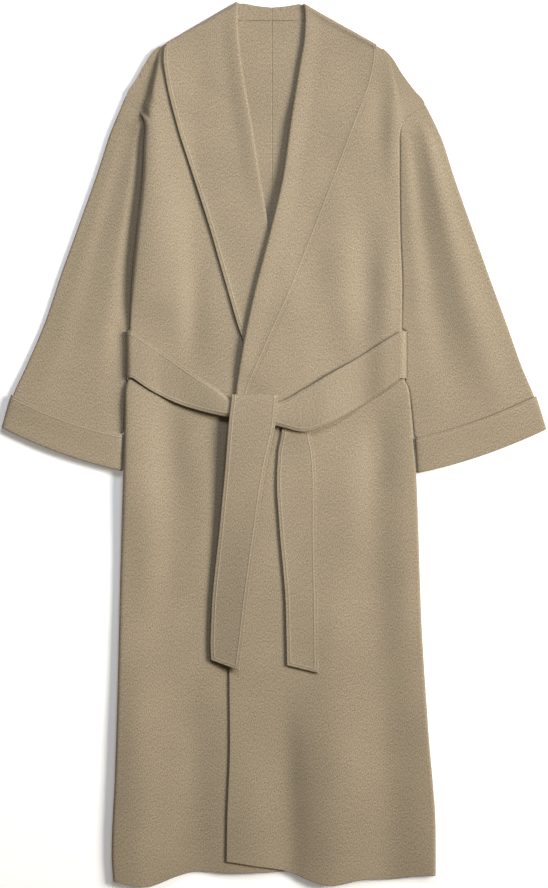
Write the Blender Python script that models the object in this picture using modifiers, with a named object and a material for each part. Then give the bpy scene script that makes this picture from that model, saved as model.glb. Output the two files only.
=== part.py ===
"""Long wool wrap coat with a shawl collar and a tie belt, laid flat on its back.

X runs across the coat, Y up towards the collar and Z up from the table. Every piece that is cut and sewn is
one wall of cloth: a grid warped into its place, given its thickness by Solidify. Sizes are in millimetres
until a mesh is made. Left and right are as seen from above, with the collar at the top.
"""
from collections import namedtuple

import bmesh
import bpy
import numpy as np

MM = 0.001

# Cloth and the gaps between its layers
CLOTH = 2.2
BELT_CLOTH = 2.8
SEAM_GAP = 0.3
LAYER_GAP = 1.2
LAYER = CLOTH + LAYER_GAP
BELT_LAYER = CLOTH / 2 + LAYER_GAP + BELT_CLOTH / 2

# Heights of the middle of the cloth above the table
FLOOR_LEVEL = CLOTH / 2
LIFTED_BACK = 4.2
FRONT_LEVEL = 6.8
FLAP_LEVEL = 6.4
KNOT_LEVEL = 24.0

# How far a raised side fold runs in over the front, how steeply it drops on its outer side, the least part of
# a half round that it turns, and how much closer the sections' points lie towards it
PUFF_WIDTH = 70.0
STEP_WIDTH = 9.0
LEAST_TURN = 0.15
SIDE_CROWDING = 1.3

# Belt under the back, and how far the back stays lifted beside what lies under it before it comes down
BELT_BACK_LOW = 94.0
BELT_BACK_HIGH = 166.0
LIFT_MARGIN = 24.0
LIFT_RAMP = 60.0

# Collar under the back: its lower edge at the centre and its rise towards the shoulders
COLLAR_BACK_EDGE = 545.0
COLLAR_BACK_RISE = 40.0
COLLAR_HALF_WIDTH = 160.0

# Places along X or Y between which a piece passes smoothly from one level or course to another
Fade = namedtuple("Fade", "start stop")

# The back: neck seam, hem, centre seam, its clearance from the side folds, and its drop under the shoulders
NECK_SEAM = 620.0
NECK_START = 300.0
NECK_FLAT = 0.33
NECK_BEND = 1.35
BACK_HEM = -612.0
BACK_HEM_START = -400.0
CENTRE_SEAM = -3.0
BACK_INSET = 1.5
BACK_DROP = 4.0
BACK_DROP_FADE = Fade(480.0, 560.0)

# Where the over front comes down off the under front's edge and off the under collar: across, from the
# collar's outer edge and roll, and in height, at its tip and where it leaves the over front
OFF_UNDER_FRONT = Fade(95.0, 14.0)
OFF_COLLAR_EDGE = Fade(-62.0, -6.0)
OFF_COLLAR_ROLL = Fade(72.0, 8.0)
OFF_COLLAR_TIP = Fade(-20.0, 66.0)
OFF_COLLAR_TOP = Fade(430.0, 345.0)

# Turned-back cuff
CUFF_DEPTH = 50.0
CUFF_ROLL = 2.2
CUFF_JOIN = 9.0
CUFF_BANDS = 3
CUFF_FADE = Fade(60.0, 25.0)
SLEEVE_DOME = 1.0

# Grid sizes: rows along a piece, columns across it, and steps round its turns
FRONT_GRID = (31, 13)
BACK_COLUMNS = 7
SLEEVE_ROWS = 13
END_STEPS = 4
FLAT_STEPS = 5
COLLAR_GRID = (32, 7)
BELT_GRID = (15, 3)
TIE_GRID = (18, 3)
CURL_STEPS = 4
STRAND_CURL_STEPS = 7
ROLL_STEPS = 4
FINE_STEPS = 200
WELD = 0.01

WOOL = (0.42, 0.34, 0.24, 1.0)
WOOL_ROUGHNESS = 0.9

# The side of the body from hem to shoulder: edge is the outline of the front, crease the line where its
# side fold stands, crest the height of the fold there
Side = namedtuple("Side", "y edge crease crest")
SIDE_LEFT = (
    Side(-645, -234, -234, 12.5), Side(-600, -237, -237, 12.5), Side(-480, -232, -232, 12.5),
    Side(-350, -228, -228, 12.5), Side(-180, -224, -224, 13), Side(-40, -220, -220, 13),
    Side(50, -217, -217, 13), Side(88, -212, -212, 12.5), Side(135, -211.5, -211.5, 12.5),
    Side(178, -210.5, -210.5, 12.5), Side(225, -208, -208, 13), Side(299, -201, -201, 13),
    Side(396, -191, -191, 13), Side(442, -189, -189, 12), Side(468, -190, -189, 10.5),
    Side(487, -197, -188, 9.5), Side(510, -216, -186, 9), Side(533, -203, -181, 8.5),
    Side(556, -190, -175, 8), Side(574, -178, -170, 7), Side(588, -160, -158, 6.8),
)
SIDE_RIGHT = (
    Side(-645, 236, 236, 12), Side(-576, 236, 236, 12), Side(-417, 225, 225, 12),
    Side(-258, 215, 215, 12), Side(-107, 210, 210, 12), Side(-35, 207, 207, 12.5),
    Side(50, 198, 198, 12.5), Side(84, 189, 189, 12.5), Side(135, 188, 188, 12.5),
    Side(178, 186.5, 186.5, 12), Side(225, 187, 187, 12), Side(310, 184, 184, 12),
    Side(400, 183, 183, 11.5), Side(443, 183, 183, 11), Side(468, 187, 185, 10),
    Side(485, 202, 184, 9), Side(497, 221, 182, 8.5), Side(520, 204, 179, 8),
    Side(543, 187, 174, 7.5), Side(567, 172, 168, 7), Side(586, 152, 150, 6.8),
)

# Sections across each front, hem to shoulder: the heights of the inner and outer ends, and how far the side
# fold turns under there (1 is a full half round, 0 lies flat)
FrontRow = namedtuple("FrontRow", "inner_y outer_y turn")
FRONT_LEFT = (
    FrontRow(-624, -638, 1), FrontRow(-560, -565, 1), FrontRow(-450, -450, 1), FrontRow(-300, -300, 1),
    FrontRow(-150, -150, 1), FrontRow(-10, -10, 1), FrontRow(50, 50, 1), FrontRow(88, 88, 1),
    FrontRow(132, 135, 1), FrontRow(180, 178, 1), FrontRow(232, 228, 1), FrontRow(333, 322, 1),
    FrontRow(410, 388, 1), FrontRow(450, 424, 1), FrontRow(474, 448, 0.7), FrontRow(496, 470, 0.3),
    FrontRow(516, 488, 0),
    FrontRow(545, 510, 0), FrontRow(575, 533, 0), FrontRow(600, 556, 0), FrontRow(620, 574, 0),
    FrontRow(636, 582, 0),
)
FRONT_RIGHT = (
    FrontRow(-618, -632, 1), FrontRow(-560, -565, 1), FrontRow(-440, -440, 1), FrontRow(-300, -300, 1),
    FrontRow(-150, -150, 1), FrontRow(-10, -10, 1), FrontRow(50, 50, 1), FrontRow(86, 84, 1),
    FrontRow(135, 135, 1), FrontRow(180, 178, 1), FrontRow(232, 228, 1), FrontRow(335, 325, 1),
    FrontRow(410, 388, 1), FrontRow(448, 424, 1), FrontRow(472, 448, 0.7), FrontRow(493, 468, 0.3),
    FrontRow(513, 485, 0),
    FrontRow(540, 497, 0), FrontRow(572, 520, 0), FrontRow(600, 543, 0), FrontRow(618, 567, 0),
    FrontRow(633, 579, 0),
)

# Free front edges below the collar
Edge = namedtuple("Edge", "y x")
EDGE_LEFT = (Edge(-645, 70), Edge(-450, 70), Edge(-300, 68), Edge(-150, 62), Edge(-10, 49))
EDGE_RIGHT = (
    Edge(-645, -70), Edge(-560, -69), Edge(-440, -65), Edge(-300, -66), Edge(-150, -63), Edge(-10, -59),
)

# Waves of each hem: where, how far it drops, and half the width of the wave
Wave = namedtuple("Wave", "x drop width")
HEM_LEFT = (Wave(-196, 13, 30), Wave(-112, -6, 34))
HEM_RIGHT = (Wave(82, 20, 36), Wave(165, 8, 42))
HEM_FADE = Fade(-370.0, -630.0)

# Large folds of the fronts: the two ends, half the width, and the height (a trough is negative)
Fold = namedtuple("Fold", "x0 y0 x1 y1 width height")
FOLDS = (
    Fold(-118, 300, -119, 110, 17, -2.6), Fold(-145, 400, -141, 150, 36, 3.5),
    Fold(-155, 85, -162, -90, 22, -2.6), Fold(-186, -250, -193, -760, 46, 6.0),
    Fold(-120, -300, -116, -760, 32, -2.4), Fold(-168, 60, -186, -330, 30, 3.0),
    Fold(140, 340, 139, 125, 25, -2.8), Fold(104, 310, 108, 120, 26, 2.5),
    Fold(155, 90, 152, -90, 22, -2.6), Fold(18, -300, 34, -760, 28, -2.6),
    Fold(90, -300, 84, -760, 46, 6.0), Fold(152, -280, 154, -760, 34, -2.6),
    Fold(185, 40, 196, -380, 28, 3.0),
)

# The fall of each collar: the roll line, the outer edge and the radius of the roll, from the tip at the
# waist up to the shoulder
CollarRow = namedtuple("CollarRow", "roll_x roll_y edge_x edge_y radius")
COLLAR_LEFT = (
    CollarRow(36, 76, 18, 74, 1.7), CollarRow(31, 104, -14, 101, 1.7), CollarRow(20, 150, -44, 150, 1.7),
    CollarRow(4, 240, -71, 236, 1.7), CollarRow(-9, 318, -94, 316, 1.8), CollarRow(-21, 390, -117, 388, 2.8),
    CollarRow(-34, 472, -142, 466, 3.0), CollarRow(-47, 548, -157, 527, 3.0),
    CollarRow(-53, 600, -162, 562, 2.8), CollarRow(-54.5, 630, -161, 578, 2.5),
)
COLLAR_RIGHT = (
    CollarRow(-57.5, 32, -46, 32, 1.7), CollarRow(-55, 77, -36, 77, 2.2), CollarRow(-44, 148, -8, 144, 2.6),
    CollarRow(-28, 224, 26, 220, 2.8), CollarRow(-7, 305, 59, 303, 2.8), CollarRow(13, 390, 92, 388, 3.0),
    CollarRow(25, 474, 122, 468, 3.0), CollarRow(37, 550, 144, 527, 3.0),
    CollarRow(45, 600, 151, 560, 2.8), CollarRow(46, 628, 152, 574, 2.5),
)
# The wrap of the collar over the shoulder and its run under the back to the centre: tilt is the way its
# outer face looks (0 up, 180 down), stand the strip inside the roll, which shows in the neck, inset how far
# that strip stands off the line of the shoulder
WrapRow = namedtuple("WrapRow", "roll_x roll_y edge_x edge_y radius tilt level lift stand inset")
WRAP_LEFT = (
    WrapRow(-53.5, 642, -157, 584, 2.1, 8, 7.2, 5.6, 4, 1.6),
    WrapRow(-53, 644, -156, 585, 2.0, 60, 7.4, 6.2, 4, 2.2),
    WrapRow(-53, 644, -156, 585, 2.0, 120, 7.4, 6.2, 4, 2.2),
    WrapRow(-51.8, 645, -154, 582, 1.9, 165, 7.2, 5.9, 5, 2.1),
    WrapRow(-50, 645, -128, 562, 1.8, 180, 5.7, 4.4, 10, 1.0),
    WrapRow(-44, 645, -82, 550, 1.7, 180, 4.7, 3.4, 22, 0),
    WrapRow(-26, 641.5, -36, 546, 1.7, 180, 4.7, 3.4, 19.2, 0),
    WrapRow(-3.2, 639, -3.2, 545, 1.7, 180, 4.7, 3.4, 16.8, 0),
)
WRAP_RIGHT = (
    WrapRow(44.5, 640, 149, 581, 2.1, 8, 7.2, 5.6, 4, 1.6),
    WrapRow(44, 642, 148, 582, 2.0, 60, 7.4, 6.2, 4, 2.2),
    WrapRow(44, 642, 148, 582, 2.0, 120, 7.4, 6.2, 4, 2.2),
    WrapRow(42.8, 643.2, 146, 579, 1.9, 165, 7.2, 5.9, 5, 2.1),
    WrapRow(41, 643, 120, 562, 1.8, 180, 5.7, 4.4, 10, 1.0),
    WrapRow(36, 644, 72, 550, 1.7, 180, 4.7, 3.4, 21.4, 0),
    WrapRow(19, 641, 28, 546, 1.7, 180, 4.7, 3.4, 18.7, 0),
    WrapRow(-2.8, 639, -2.8, 545, 1.7, 180, 4.7, 3.4, 16.8, 0),
)
# Strip of the collar on the inside of its roll, sewn to the front, and the length over which the fall
# settles from its roll onto the front
COLLAR_STRIP = 4.0
FALL_SETTLE = 26.0
# Tilt over which the wrap leaves the front's height for its own level
WRAP_TILT = Fade(0.0, 45.0)

# Sections across each sleeve from its folded end to the armhole seam: the two ends, and the height of the
# upper and lower cloth
SleeveRow = namedtuple("SleeveRow", "outer_x outer_y inner_y top low")
SLEEVE_LEFT = (
    SleeveRow(-394, 31, -33, 11.2, 5.8), SleeveRow(-380, 71, 15, 11.2, 5.8),
    SleeveRow(-362, 114, 58, 9.0, 3.6), SleeveRow(-334, 180, 125, 6.6, 1.2),
    SleeveRow(-312, 246, 198, 6.6, 1.2), SleeveRow(-289, 310, 268, 6.6, 1.2),
    SleeveRow(-256, 403, 372, 6.6, 1.2), SleeveRow(-240, 453, 428, 6.6, 1.2),
    SleeveRow(-227, 485, 463, 6.6, 1.2), SleeveRow(-217.2, 509.3, 485.5, 6.6, 1.2),
)
SLEEVE_RIGHT = (
    SleeveRow(394, 27, -37, 11.2, 5.8), SleeveRow(379, 69, 9, 11.2, 5.8),
    SleeveRow(363, 111, 54, 9.0, 3.6), SleeveRow(340, 176, 122, 6.6, 1.2),
    SleeveRow(318, 236, 186, 6.6, 1.2), SleeveRow(295, 301, 258, 6.6, 1.2),
    SleeveRow(262, 395, 365, 6.6, 1.2), SleeveRow(247, 442, 418, 6.6, 1.2),
    SleeveRow(234, 472, 450, 6.6, 1.2), SleeveRow(222.5, 496.3, 469, 6.6, 1.2),
)
# Clear space between a sleeve and the body's side fold, and the extra room where the belt and the cuff pass
SLEEVE_CLEAR = 1.2
BELT_ROOM = Wave(132, 6.4, 66)
CUFF_ROOM = 2 * CUFF_ROLL + 0.4
# The sleeve's last ring follows the front's armhole edge at these distances along X, fading over these rows
ARMHOLE_GAP_LEFT = 2.3
ARMHOLE_GAP_RIGHT = 3.5
ARMHOLE_FADE = Fade(7.0, 9.0)

# Long soft folds of the sleeves: across as a part of the width (-1 outer edge, 1 inner edge), both ends
SleeveFold = namedtuple("SleeveFold", "across0 across1 start stop width height")
SLEEVE_FOLDS_LEFT = (
    SleeveFold(0.35, 0.55, 0.12, 0.95, 0.30, 1.6), SleeveFold(-0.25, -0.2, 0.1, 0.8, 0.3, -1.4),
)
SLEEVE_FOLDS_RIGHT = (
    SleeveFold(0.15, 0.5, 0.05, 0.95, 0.26, -1.6), SleeveFold(-0.4, -0.3, 0.1, 0.85, 0.3, 1.6),
)

# Sections along the belt's front strands: the lower and upper edge
BeltRow = namedtuple("BeltRow", "x low high")
BELT_LEFT = (
    BeltRow(-207.4, 97, 165), BeltRow(-181, 79, 147), BeltRow(-143, 60, 121), BeltRow(-119, 52, 104),
    BeltRow(-87, 44, 83), BeltRow(-63, 40, 66.5), BeltRow(-29, 38, 63),
)
BELT_RIGHT = (
    BeltRow(-26, 32, 62), BeltRow(5, 27, 61), BeltRow(44, 18, 80), BeltRow(81, 31, 102),
    BeltRow(118, 51, 123), BeltRow(156, 76, 147), BeltRow(184.6, 96, 165),
)
# Sections along the hanging ends, from the top down: the left and right edge
TieRow = namedtuple("TieRow", "y left right")
TIE_LEFT = (
    TieRow(66, -60, 4), TieRow(32, -64, 1), TieRow(-43, -72, -13), TieRow(-126, -80, -25),
    TieRow(-238, -91, -40), TieRow(-300, -93, -47), TieRow(-331, -92, -51),
)
TIE_RIGHT = (
    TieRow(48, 13, 52), TieRow(15, 11, 54), TieRow(-13, 6, 59), TieRow(-58, 4, 62),
    TieRow(-126, 8, 62), TieRow(-238, 17, 64), TieRow(-335, 19, 65),
)
# The left end folds over the knot: how far it reaches back behind the strands, and the fold's radius and top
TIE_HOOK = 14.0
TIE_ROLL = 3.25
TIE_ROLL_TOP = 71.0
TIE_KNOT_FADE = Fade(-70.0, 28.0)
TIE_INNER = -60.0
# The right end lies a little loose on the front, level with this place where the strand crosses it
TIE_LOFT = 0.6
TIE_CROSSING = 40.0
# The strands take their height from the fronts along this line, rise to the knot, and wrap the sides loosely
BELT_LINE = 135.0
KNOT_FADE_LEFT = Fade(-112.0, -62.0)
KNOT_FADE_RIGHT = Fade(118.0, 66.0)
WRAP_FADE_LEFT = Fade(-165.0, -205.0)
WRAP_FADE_RIGHT = Fade(142.0, 182.0)
WRAP_LOFT = 1.2
BELT_END_GAP = 0.9


def ramp(value, start, stop):
    """Smooth step from 0 at start to 1 at stop, which may lie either way round."""
    t = np.clip((value - start) / (stop - start), 0.0, 1.0)
    return t * t * (3.0 - 2.0 * t)


def hermite(t, first, last, slope_first, slope_last):
    """Cubic between two values with given slopes, at t from 0 to 1."""
    return ((2 * t**3 - 3 * t**2 + 1) * first + (t**3 - 2 * t**2 + t) * slope_first
            + (3 * t**2 - 2 * t**3) * last + (t**3 - t**2) * slope_last)


def slopes_through(values, keys):
    """Slopes of a smooth curve through values (rows, columns) that never swings past them."""
    rises = np.diff(values, axis=0) / np.diff(keys)[:, None]
    before, after = rises[:-1], rises[1:]
    total = np.where(before * after > 0, before + after, 1.0)
    inner = np.where(before * after > 0, 2 * before * after / total, 0.0)
    return np.vstack((rises[:1], inner, rises[-1:]))


def curve(rows, column, at):
    """Smooth value of a table's column where its first column equals at."""
    table = np.array(rows, float)
    keys, values = table[:, 0], table[:, rows[0]._fields.index(column)]
    slopes = slopes_through(values[:, None], keys)[:, 0]
    k = np.clip(np.searchsorted(keys, at) - 1, 0, len(keys) - 2)
    span = keys[k + 1] - keys[k]
    t = np.clip((at - keys[k]) / span, 0.0, 1.0)
    return hermite(t, values[k], values[k + 1], slopes[k] * span, slopes[k + 1] * span)


def sections(rows, count):
    """Count sections on smooth curves through a table's rows, as one array for each column."""
    table = np.array(rows, float)
    at = np.linspace(0, len(table) - 1, count)
    k = np.clip(at.astype(int), 0, len(table) - 2)
    t = (at - k)[:, None]
    slopes = slopes_through(table, np.arange(len(table), dtype=float))
    columns = hermite(t, table[k], table[k + 1], slopes[k], slopes[k + 1]).T
    return [column[:, None] for column in columns]


def folds_height(x, y, folds):
    """Height of the folds at a place: a soft ridge or trough along each fold's line, fading at its ends."""
    height = np.zeros(np.broadcast(x, y).shape)
    for fold in folds:
        part = np.clip((y - fold.y0) / (fold.y1 - fold.y0), 0.0, 1.0)
        centre = fold.x0 + (fold.x1 - fold.x0) * part
        height = height + fold.height * np.sin(np.pi * part)**2 * np.exp(-((x - centre) / fold.width)**2)
    return height


def side_height(x, y, side):
    """Height of a single front: level in the middle, rising to its side fold and stepping down outside it."""
    crest = curve(side, "crest", y)
    crease = np.abs(curve(side, "crease", y)) - fold_radius(y, side)
    inside = crease - x * np.sign(side[0].edge)
    level = FRONT_LEVEL + belt_lift(y)
    puff = level + (crest - level) * ramp(inside, PUFF_WIDTH, 0.0)
    step = FLAP_LEVEL + (crest - FLAP_LEVEL) * ramp(inside, -STEP_WIDTH, 0.0)
    return np.where(inside > 0, puff, step)


def belt_lift(y):
    """Rise of the back over the belt under it."""
    below = ramp(y, BELT_BACK_LOW - LIFT_MARGIN - LIFT_RAMP, BELT_BACK_LOW - LIFT_MARGIN)
    above = ramp(y, BELT_BACK_HIGH + LIFT_MARGIN + LIFT_RAMP, BELT_BACK_HIGH + LIFT_MARGIN)
    return (LIFTED_BACK - FLOOR_LEVEL) * below * above


def back_lift(x, y):
    """Rise of the back over what lies under it: the belt, and the collar near the neck."""
    edge = COLLAR_BACK_EDGE + COLLAR_BACK_RISE * (x / COLLAR_HALF_WIDTH)**2 - LIFT_MARGIN
    collar = (LIFTED_BACK - FLOOR_LEVEL) * ramp(y, edge - LIFT_RAMP, edge)
    return np.maximum(belt_lift(y), collar)


def fold_radius(y, side):
    """Radius of the side fold, from its crest down to the level of the back."""
    return (curve(side, "crest", y) - FLOOR_LEVEL - SEAM_GAP / 2 - belt_lift(y)) / 2


def left_front_height(x, y):
    """Height of the under front."""
    return side_height(x, y, SIDE_LEFT) + folds_height(x, y, FOLDS)


def right_front_height(x, y):
    """Height of the over front: raised a layer by the under front, and another by the under collar."""
    edge = front_edge(y, EDGE_LEFT, COLLAR_LEFT)
    over_front = ramp(x - edge, *OFF_UNDER_FRONT)
    collar = np.array([(row.roll_y, row.roll_x, row.edge_x) for row in COLLAR_LEFT])
    roll = np.interp(y, collar[:, 0], collar[:, 1])
    outer = np.interp(y, collar[:, 0], collar[:, 2])
    across = ramp(x - outer, *OFF_COLLAR_EDGE) * ramp(x - roll, *OFF_COLLAR_ROLL)
    over_collar = across * ramp(y, *OFF_COLLAR_TIP) * ramp(y, *OFF_COLLAR_TOP)
    return side_height(x, y, SIDE_RIGHT) + folds_height(x, y, FOLDS) + LAYER * (over_front + over_collar)


def front_edge(y, free_edge, collar):
    """X of a front's inner edge: free below the collar, sewn to the strip inside the collar's roll above."""
    sign = np.sign(collar[0].edge_x - collar[0].roll_x)
    sewn = COLLAR_STRIP + 4 * SEAM_GAP
    rolled = [Edge(row.roll_y, row.roll_x + sign * (row.radius + sewn)) for row in collar]
    return curve(free_edge + tuple(rolled), "x", y)


def hem_shift(x, y, waves):
    """Wave of the hem at a place, fading upwards."""
    drop = sum(wave.drop * np.exp(-((x - wave.x) / wave.width)**2) for wave in waves)
    return -drop * ramp(y, *HEM_FADE)


def add_piece(name, points, thickness, closed=False):
    """Make one piece of cloth: a grid warped to the points (rows, columns, 3), with a wall by Solidify.

    A closed piece has its last column on its first, and the two are welded.
    """
    rows, columns = points.shape[:2]
    bm = bmesh.new()
    bmesh.ops.create_grid(bm, x_segments=columns - 1, y_segments=rows - 1, size=1.0)
    for vert, place in zip(bm.verts, points.reshape(-1, 3) * MM):
        vert.co = place
    if closed:
        bmesh.ops.remove_doubles(bm, verts=bm.verts, dist=WELD * MM)
    bm.normal_update()
    mesh = bpy.data.meshes.new(name)
    bm.to_mesh(mesh)
    bm.free()
    mesh.shade_smooth()
    piece = bpy.data.objects.new(name, mesh)
    mesh.materials.append(make_wool(name))
    wall = piece.modifiers.new("Wall", "SOLIDIFY")
    wall.thickness = thickness * MM
    wall.offset = 0.0
    wall.use_even_offset = True
    wall.use_quality_normals = True
    COAT.objects.link(piece)
    return piece


def make_wool(name):
    """Plain wool material for one piece."""
    material = bpy.data.materials.new(f"wool_{name}")
    material.use_nodes = True
    shader = material.node_tree.nodes["Principled BSDF"]
    shader.inputs["Base Color"].default_value = WOOL
    shader.inputs["Roughness"].default_value = WOOL_ROUGHNESS
    shader.inputs["Metallic"].default_value = 0.0
    return material


def stack(x, y, z):
    """Join coordinate arrays into points (rows, columns, 3)."""
    return np.stack(np.broadcast_arrays(x, y, z), axis=-1)


def front_points(table, side, free_edge, collar, waves, height):
    """Points of a front: straight sections from the inner edge, then the side fold turning under.

    Turned fully the fold is a half round that ends on the back; it opens out above, to lie flat on the
    dropped shoulder and along the armhole seam.
    """
    rows, columns = FRONT_GRID
    inner_y, outer_y, turn = sections(table, rows)
    inner_x = front_edge(inner_y, free_edge, collar)
    sign = np.sign(side[0].edge)
    radius = fold_radius(outer_y, side)
    angle = np.pi * np.clip(turn, LEAST_TURN, 1.0)
    reach = radius * np.sin(np.minimum(angle, np.pi / 2))
    outer_x = curve(side, "edge", outer_y)
    start_x = outer_x - sign * reach
    across = 1.0 - (1.0 - np.linspace(0, 1, columns)[None, :])**SIDE_CROWDING
    x = inner_x + (start_x - inner_x) * across
    y = inner_y + (outer_y - inner_y) * across
    z = height(x, y)
    steps = angle * np.linspace(0, 1, CURL_STEPS + 1)[None, 1:]
    curl_x = start_x + sign * radius * np.sin(steps)
    curl_y = np.broadcast_to(outer_y, curl_x.shape)
    curl_z = z[:, -1:] - radius * (1.0 - np.cos(steps))
    x, y, z = (np.hstack(pair) for pair in ((x, curl_x), (y, curl_y), (z, curl_z)))
    return stack(x, y + hem_shift(x, y, waves), z)


def back_points(side, front_table):
    """Points of half the back, flat on the table but for what lies under it."""
    sign = np.sign(side[0].edge)
    _, outer_y, turn = sections(front_table, FRONT_GRID[0])
    outer_y = outer_y + (BACK_HEM - outer_y[0]) * ramp(outer_y, BACK_HEM_START, outer_y[0])
    inner_y = outer_y + (NECK_SEAM - SEAM_GAP - outer_y[-1]) * ramp(outer_y, NECK_START, outer_y[-1])
    inset = fold_radius(outer_y, side) * np.clip(turn, 0, 1) + BACK_INSET
    outer_x = curve(side, "edge", outer_y) - sign * inset
    inner_x = CENTRE_SEAM + sign * SEAM_GAP / 2
    across = np.linspace(0, 1, BACK_COLUMNS)[None, :]
    x = inner_x + (outer_x - inner_x) * across
    slope = outer_y - BACK_DROP * ramp(outer_y, *BACK_DROP_FADE) - inner_y
    y = inner_y + slope * (np.maximum(across - NECK_FLAT, 0.0) / (1.0 - NECK_FLAT))**NECK_BEND
    return stack(x, y, FLOOR_LEVEL + back_lift(x, y))


def collar_points(front_rows, wrap_rows, height):
    """Points of half the collar, from its tip up the roll line, over the shoulder and on to the centre back.

    Each section runs along the stand, round the roll and down the fall. Its place on the section is measured
    along the fall (along) and away from the garment (off). The outer face tilts from up to down over the
    shoulder.
    """
    rows, columns = COLLAR_GRID
    plain = [WrapRow(*row, 0.0, FRONT_LEVEL, LAYER, COLLAR_STRIP, 0.0) for row in front_rows]
    table = sections(plain + list(wrap_rows), rows)
    roll_x, roll_y, edge_x, edge_y, radius, tilt, level, lift, stand, inset = table
    width = np.hypot(edge_x - roll_x, edge_y - roll_y)
    toward_x, toward_y = (edge_x - roll_x) / width, (edge_y - roll_y) / width
    turn = np.linspace(0, np.pi, ROLL_STEPS + 1)[None, :]
    part = np.linspace(0, 1, columns)[None, 1:]
    fall = radius + (width - radius) * part
    along = np.hstack((radius + stand, radius - radius * np.sin(turn), fall))
    settle = ramp(fall - radius, 0.0, FALL_SETTLE)
    high = inset + 2 * radius
    off = np.hstack((inset, inset + radius - radius * np.cos(turn), high + (lift - high) * settle))
    x = roll_x + toward_x * along
    y = roll_y + toward_y * along
    angle = np.radians(np.clip(tilt, 0, 180))
    outward = np.sign(roll_x - edge_x)
    base = height(x, y) + (level - height(x, y)) * ramp(tilt, *WRAP_TILT)
    shift = off * np.sin(angle)
    return stack(x + toward_y * outward * shift, y - toward_x * outward * shift, base + off * np.cos(angle))


def sleeve_inner(y, side):
    """X of a sleeve's inner edge, just clear of the body's side fold and of the belt round it."""
    room = CLOTH + SLEEVE_CLEAR + BELT_ROOM.drop * np.exp(-((y - BELT_ROOM.x) / BELT_ROOM.width)**4)
    room = room + CUFF_ROOM * ramp(y, *CUFF_FADE)
    return curve(side, "edge", y) + np.sign(side[0].edge) * room


def armhole_shift(table, side, across):
    """How far the last ring moves along X, from straight across to along the front's armhole edge."""
    last, sign = table[-1], np.sign(side[0].edge)
    y = (last.outer_y + last.inner_y) / 2 + (last.inner_y - last.outer_y) / 2 * across
    inner_x = sleeve_inner(np.array(last.inner_y), side)
    straight = (last.outer_x + inner_x) / 2 + (inner_x - last.outer_x) / 2 * across
    gap = ARMHOLE_GAP_LEFT if sign < 0 else ARMHOLE_GAP_RIGHT
    return curve(side, "edge", y) + sign * gap - straight


def sleeve_ring(table, side, folds, along, offset):
    """Rings of a sleeve at the given sections, each a flattened tube grown by offset.

    Args: along gives each ring's place from the folded end, in rows of the table.
    """
    at = np.asarray(along, float)
    fine = np.linspace(0, len(table) - 1, FINE_STEPS)
    columns = [np.interp(at, fine, column[:, 0])[:, None] for column in sections(table, FINE_STEPS)]
    outer_x, outer_y, inner_y, top, low = columns
    inner_x = sleeve_inner(inner_y, side)
    half = np.hypot(inner_x - outer_x, inner_y - outer_y) / 2
    high = (top - low) / 2
    end = np.linspace(-np.pi / 2, np.pi / 2, END_STEPS + 1)
    flat = np.linspace(1, -1, FLAT_STEPS + 1)[1:-1]
    straight = np.concatenate((np.ones(END_STEPS + 1), flat, -np.ones(END_STEPS + 1), -flat, [1.0]))[None, :]
    bulge = np.concatenate((np.cos(end), 0 * flat, -np.cos(end), 0 * flat, [0.0]))[None, :]
    rise = np.concatenate((np.sin(end), 1 + 0 * flat, -np.sin(end), -1 + 0 * flat, [-1.0]))[None, :]
    across = (straight * (half - high) + bulge * (high + offset)) / half
    x = (outer_x + inner_x) / 2 + (inner_x - outer_x) / 2 * across
    y = (outer_y + inner_y) / 2 + (inner_y - outer_y) / 2 * across
    x = x + armhole_shift(table, side, across) * ramp(at[:, None], *ARMHOLE_FADE)
    dome = SLEEVE_DOME * np.clip(1.0 - across**2, 0.0, 1.0) * np.clip(rise, 0.0, 1.0)
    z = (top + low) / 2 + rise * (high + offset) + dome
    part = at[:, None] / (len(table) - 1)
    for fold in folds:
        reach = np.clip((part - fold.start) / (fold.stop - fold.start), 0.0, 1.0)
        centre = fold.across0 + (fold.across1 - fold.across0) * part
        ridge = fold.height * np.sin(np.pi * reach)**2 * np.exp(-((across - centre) / fold.width)**2)
        z = z + ridge * np.clip(rise, 0.0, 1.0)
    return stack(x, y, z)


def sleeve_points(table, side, folds):
    """Points of a sleeve, from its join with the turned-back cuff up to the armhole seam."""
    join = (CUFF_ROLL + CUFF_JOIN + SEAM_GAP) / CUFF_DEPTH
    return sleeve_ring(table, side, folds, np.linspace(join, len(table) - 1, SLEEVE_ROWS), np.zeros((1, 1)))


def cuff_points(table, side, folds):
    """Points of a cuff: it carries the sleeve on, turns at the end and lies back over the sleeve."""
    turn = np.linspace(0, np.pi, ROLL_STEPS)
    band = np.linspace(CUFF_ROLL, CUFF_DEPTH, CUFF_BANDS + 1)[1:]
    along = np.concatenate(([CUFF_ROLL + CUFF_JOIN], CUFF_ROLL - CUFF_ROLL * np.sin(turn), band))
    offset = np.concatenate(([0.0], CUFF_ROLL - CUFF_ROLL * np.cos(turn), np.full(len(band), 2 * CUFF_ROLL)))
    return sleeve_ring(table, side, folds, along / CUFF_DEPTH, offset[:, None])


def strand_points(table, height):
    """Points of a front strand of the belt, with its outer end wrapped round the body's side fold."""
    x, low, high = sections(table, BELT_GRID[0])
    across = np.linspace(0, 1, BELT_GRID[1] + 1)[None, :]
    y = low + (high - low) * across
    z = height(x, y)
    end = 0 if abs(table[0].x) > abs(table[-1].x) else -1
    sign = np.sign(table[end].x)
    radius = (z[end] - BELT_CLOTH / 2) / 2
    turn = np.linspace(0, np.pi, STRAND_CURL_STEPS + 1)[1:, None]
    curl = stack(x[end] + sign * radius * np.sin(turn), y[end], z[end] - radius * (1 - np.cos(turn)))
    points = stack(x, y, z)
    return np.concatenate((curl[::-1], points)) if end == 0 else np.concatenate((points, curl))


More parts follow.
